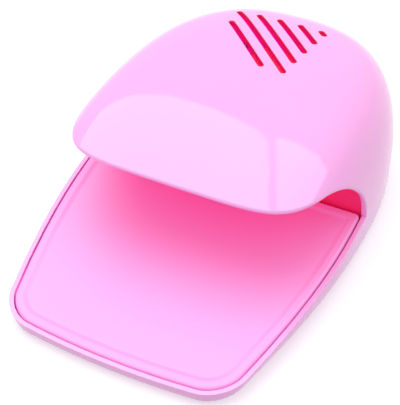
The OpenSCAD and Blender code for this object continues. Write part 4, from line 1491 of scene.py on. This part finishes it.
@dataclass(frozen=True)
class Softbox:
    """A rectangular lamp that lights the object and leaves no reflection.

    Attributes:
        name: Name of the lamp.
        place: Its middle, in metres.
        turn: Turn about Z in degrees. The lamp faces down.
        size: Width and length in metres.
        level: How bright its face is, beside a white backdrop.
    """

    name: str
    place: tuple[float, float, float]
    turn: float
    size: tuple[float, float]
    level: float

    def build(self) -> None:
        """Put the lamp in the scene."""
        data = bpy.data.lights.new(self.name, "AREA")
        data.shape = "RECTANGLE"
        data.size, data.size_y = self.size
        data.energy = self.level * math.pi * self.size[0] * self.size[1]
        lamp = bpy.data.objects.new(self.name, data)
        lamp.location = self.place
        lamp.rotation_euler = (0.0, 0.0, math.radians(self.turn))
        lamp.visible_glossy = False
        bpy.context.scene.collection.objects.link(lamp)


@dataclass(frozen=True)
class Card:
    """A bright card over the set, which shows only as a reflection.

    Attributes:
        name: Name of the card.
        outline: Corners in metres, to the right of the camera and away from it.
        level: How bright it is, beside a white backdrop.
        height: Height over the floor.
        turn: Turn about Z in degrees, which lines the card up with the camera.
    """

    name: str
    outline: tuple[tuple[float, float], ...]
    level: float = 3.6
    height: float = 1.0
    turn: float = 26.7

    def build(self) -> None:
        """Put the card in the scene."""
        material = bpy.data.materials.new(self.name)
        t = Tree.of(material)
        glow = t.add("ShaderNodeEmission", Color=(1, 1, 1, 1), Strength=self.level)
        t.end(glow.outputs[0])
        way = Matrix.Rotation(math.radians(self.turn), 3, "Z")
        corners = [way @ Vector((u, w, self.height)) for u, w in self.outline]
        card = from_faces(self.name, corners, [list(range(len(corners)))])
        card.data.materials.append(material)
        card.visible_camera = card.visible_diffuse = card.visible_shadow = False


@dataclass
class Studio:
    """A white floor, a soft lamp, two cards and the photograph's camera.

    Attributes:
        eye: Where the camera stands, in millimetres.
        target: What it looks at.
        lens: Focal length on a 36 mm sensor.
        ambient: Level of the sky from 30 degrees under the horizon downwards, and overhead.
        lamps: Lamps that light the object.
        cards: Cards that the glossy hood reflects.
        floor_side: Half the side of the floor, in metres.
        floor_grey: How much light the floor sends back.
        floor_glow: How much it is lifted towards white where it is seen.
        bounces: Most bounces of light in all, off dull faces and off glossy ones.
    """

    eye: tuple[float, float, float] = (110.3, -232.5, 232.3)
    target: tuple[float, float, float] = (2.08, -17.35, 21.6)
    lens: float = 97.67
    ambient: tuple[float, float] = (0.5, 1.0)
    lamps: tuple[Softbox, ...] = (
        Softbox("softbox_over", (-0.35, 0.0, 1.2), 26.7, (1.2, 0.9), 1.6),)
    cards: tuple[Card, ...] = (
        Card("card_left", ((-0.95, -0.3), (0.1, -0.3), (0.045, 0.08), (-0.018, 0.25),
                           (-0.035, 0.5), (-0.02, 0.68), (-0.02, 0.76), (-0.04, 0.84),
                           (-0.08, 0.905), (-0.14, 0.925), (-0.19, 0.9), (-0.36, 0.94),
                           (-0.76, 1.13), (-0.9, 0.93), (-0.95, 0.75))),
        Card("card_right", ((0.24, -0.3), (1.6, -0.3), (1.6, 0.32), (0.89, 0.32),
                            (0.335, 0.49), (0.115, 0.66), (0.05, 0.71), (0.014, 0.715),
                            (0.002, 0.6), (0.006, 0.41), (0.051, 0.23), (0.15, 0.04))),
    )

    floor_side: float = 6.0
    floor_grey: float = 0.72
    floor_glow: float = 0.4
    bounces: tuple[int, int, int] = (24, 20, 8)

    def seen_rays(self, t: Tree) -> Socket:
        """Return 1 for rays that show the backdrop: from the camera, a mirror or glass."""
        rays = t.add("ShaderNodeLightPath")
        both = t.math("MAXIMUM", rays.outputs["Is Camera Ray"], rays.outputs["Is Glossy Ray"])
        return t.math("MAXIMUM", both, rays.outputs["Is Transmission Ray"])

    def world(self) -> None:
        """Light the object softly from all round, before a white backdrop."""
        world = bpy.data.worlds.new("studio")
        t = Tree.of(world)
        up = t.add("ShaderNodeSeparateXYZ", Vector=t.add("ShaderNodeTexCoord").outputs["Generated"])
        level = t.add("ShaderNodeMapRange", Value=up.outputs[2], From_Min=-0.5,
                      To_Min=self.ambient[0], To_Max=self.ambient[1])
        soft = t.add("ShaderNodeBackground", Color=(1, 1, 1, 1), Strength=level.outputs[0])
        white = t.add("ShaderNodeBackground", Color=(1, 1, 1, 1), Strength=1.0)
        mix = t.add("ShaderNodeMixShader", i1=soft.outputs[0], i2=white.outputs[0])
        t.link(self.seen_rays(t), mix.inputs[0])
        t.end(mix.outputs[0], "ShaderNodeOutputWorld")
        bpy.context.scene.world = world

    def floor(self) -> None:
        """Lay a white floor that keeps the object's shadow."""
        material = bpy.data.materials.new("white_sweep")
        t = Tree.of(material)
        cloth = t.add("ShaderNodeBsdfDiffuse", Color=(*[self.floor_grey] * 3, 1))
        glow = t.add("ShaderNodeEmission", Color=(1, 1, 1, 1), Strength=self.floor_glow)
        lit = t.add("ShaderNodeAddShader", i0=cloth.outputs[0], i1=glow.outputs[0])
        mix = t.add("ShaderNodeMixShader", i1=cloth.outputs[0], i2=lit.outputs[0])
        t.link(self.seen_rays(t), mix.inputs[0])
        below = t.add("ShaderNodeNewGeometry").outputs["Backfacing"]
        clear = t.add("ShaderNodeBsdfTransparent")
        sheet = t.add("ShaderNodeMixShader", i0=below, i1=mix.outputs[0], i2=clear.outputs[0])
        t.end(sheet.outputs[0])
        side = self.floor_side
        corners = [(-side, -side, 0), (side, -side, 0), (side, side, 0), (-side, side, 0)]
        floor = from_faces("floor", corners, [[0, 1, 2, 3]])
        floor.visible_diffuse = False
        floor.data.materials.append(material)

    def camera(self) -> None:
        """Put the camera where the photograph was taken."""
        data = bpy.data.cameras.new("camera")
        data.lens = self.lens
        data.sensor_width = 36
        data.clip_start, data.clip_end = 0.01, 20
        camera = bpy.data.objects.new("camera", data)
        camera.location = Vector(self.eye) * MM
        way = (Vector(self.target) - Vector(self.eye)) * MM
        camera.rotation_euler = way.to_track_quat("-Z", "Y").to_euler()
        bpy.context.scene.collection.objects.link(camera)
        bpy.context.scene.camera = camera

    def build(self) -> None:
        """Set up the studio."""
        bpy.context.scene.view_settings.view_transform = "Standard"
        cycles = bpy.context.scene.cycles
        cycles.max_bounces, cycles.diffuse_bounces, cycles.glossy_bounces = self.bounces
        self.camera()
        self.world()
        self.floor()
        for light in (*self.lamps, *self.cards):
            light.build()
        log.info("studio: %d lamps and %d cards", len(self.lamps), len(self.cards))


def main() -> None:
    """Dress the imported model."""
    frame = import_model()
    plan = Plan()
    shop = Shop(frame)
    assemblies: list[Callable[[], None]] = [
        Studio().build,
        Hood(shop, Dome(plan)).build,
        Case(shop).build,
        HandPlate(shop).build,
        Fan(shop, plan).build,
        Switch(shop).build,
        Power(shop).build,
        Wiring(shop).build,
        Screws(shop).build,
    ]
    for build in assemblies:
        build()


if __name__ == "__main__":
    main()
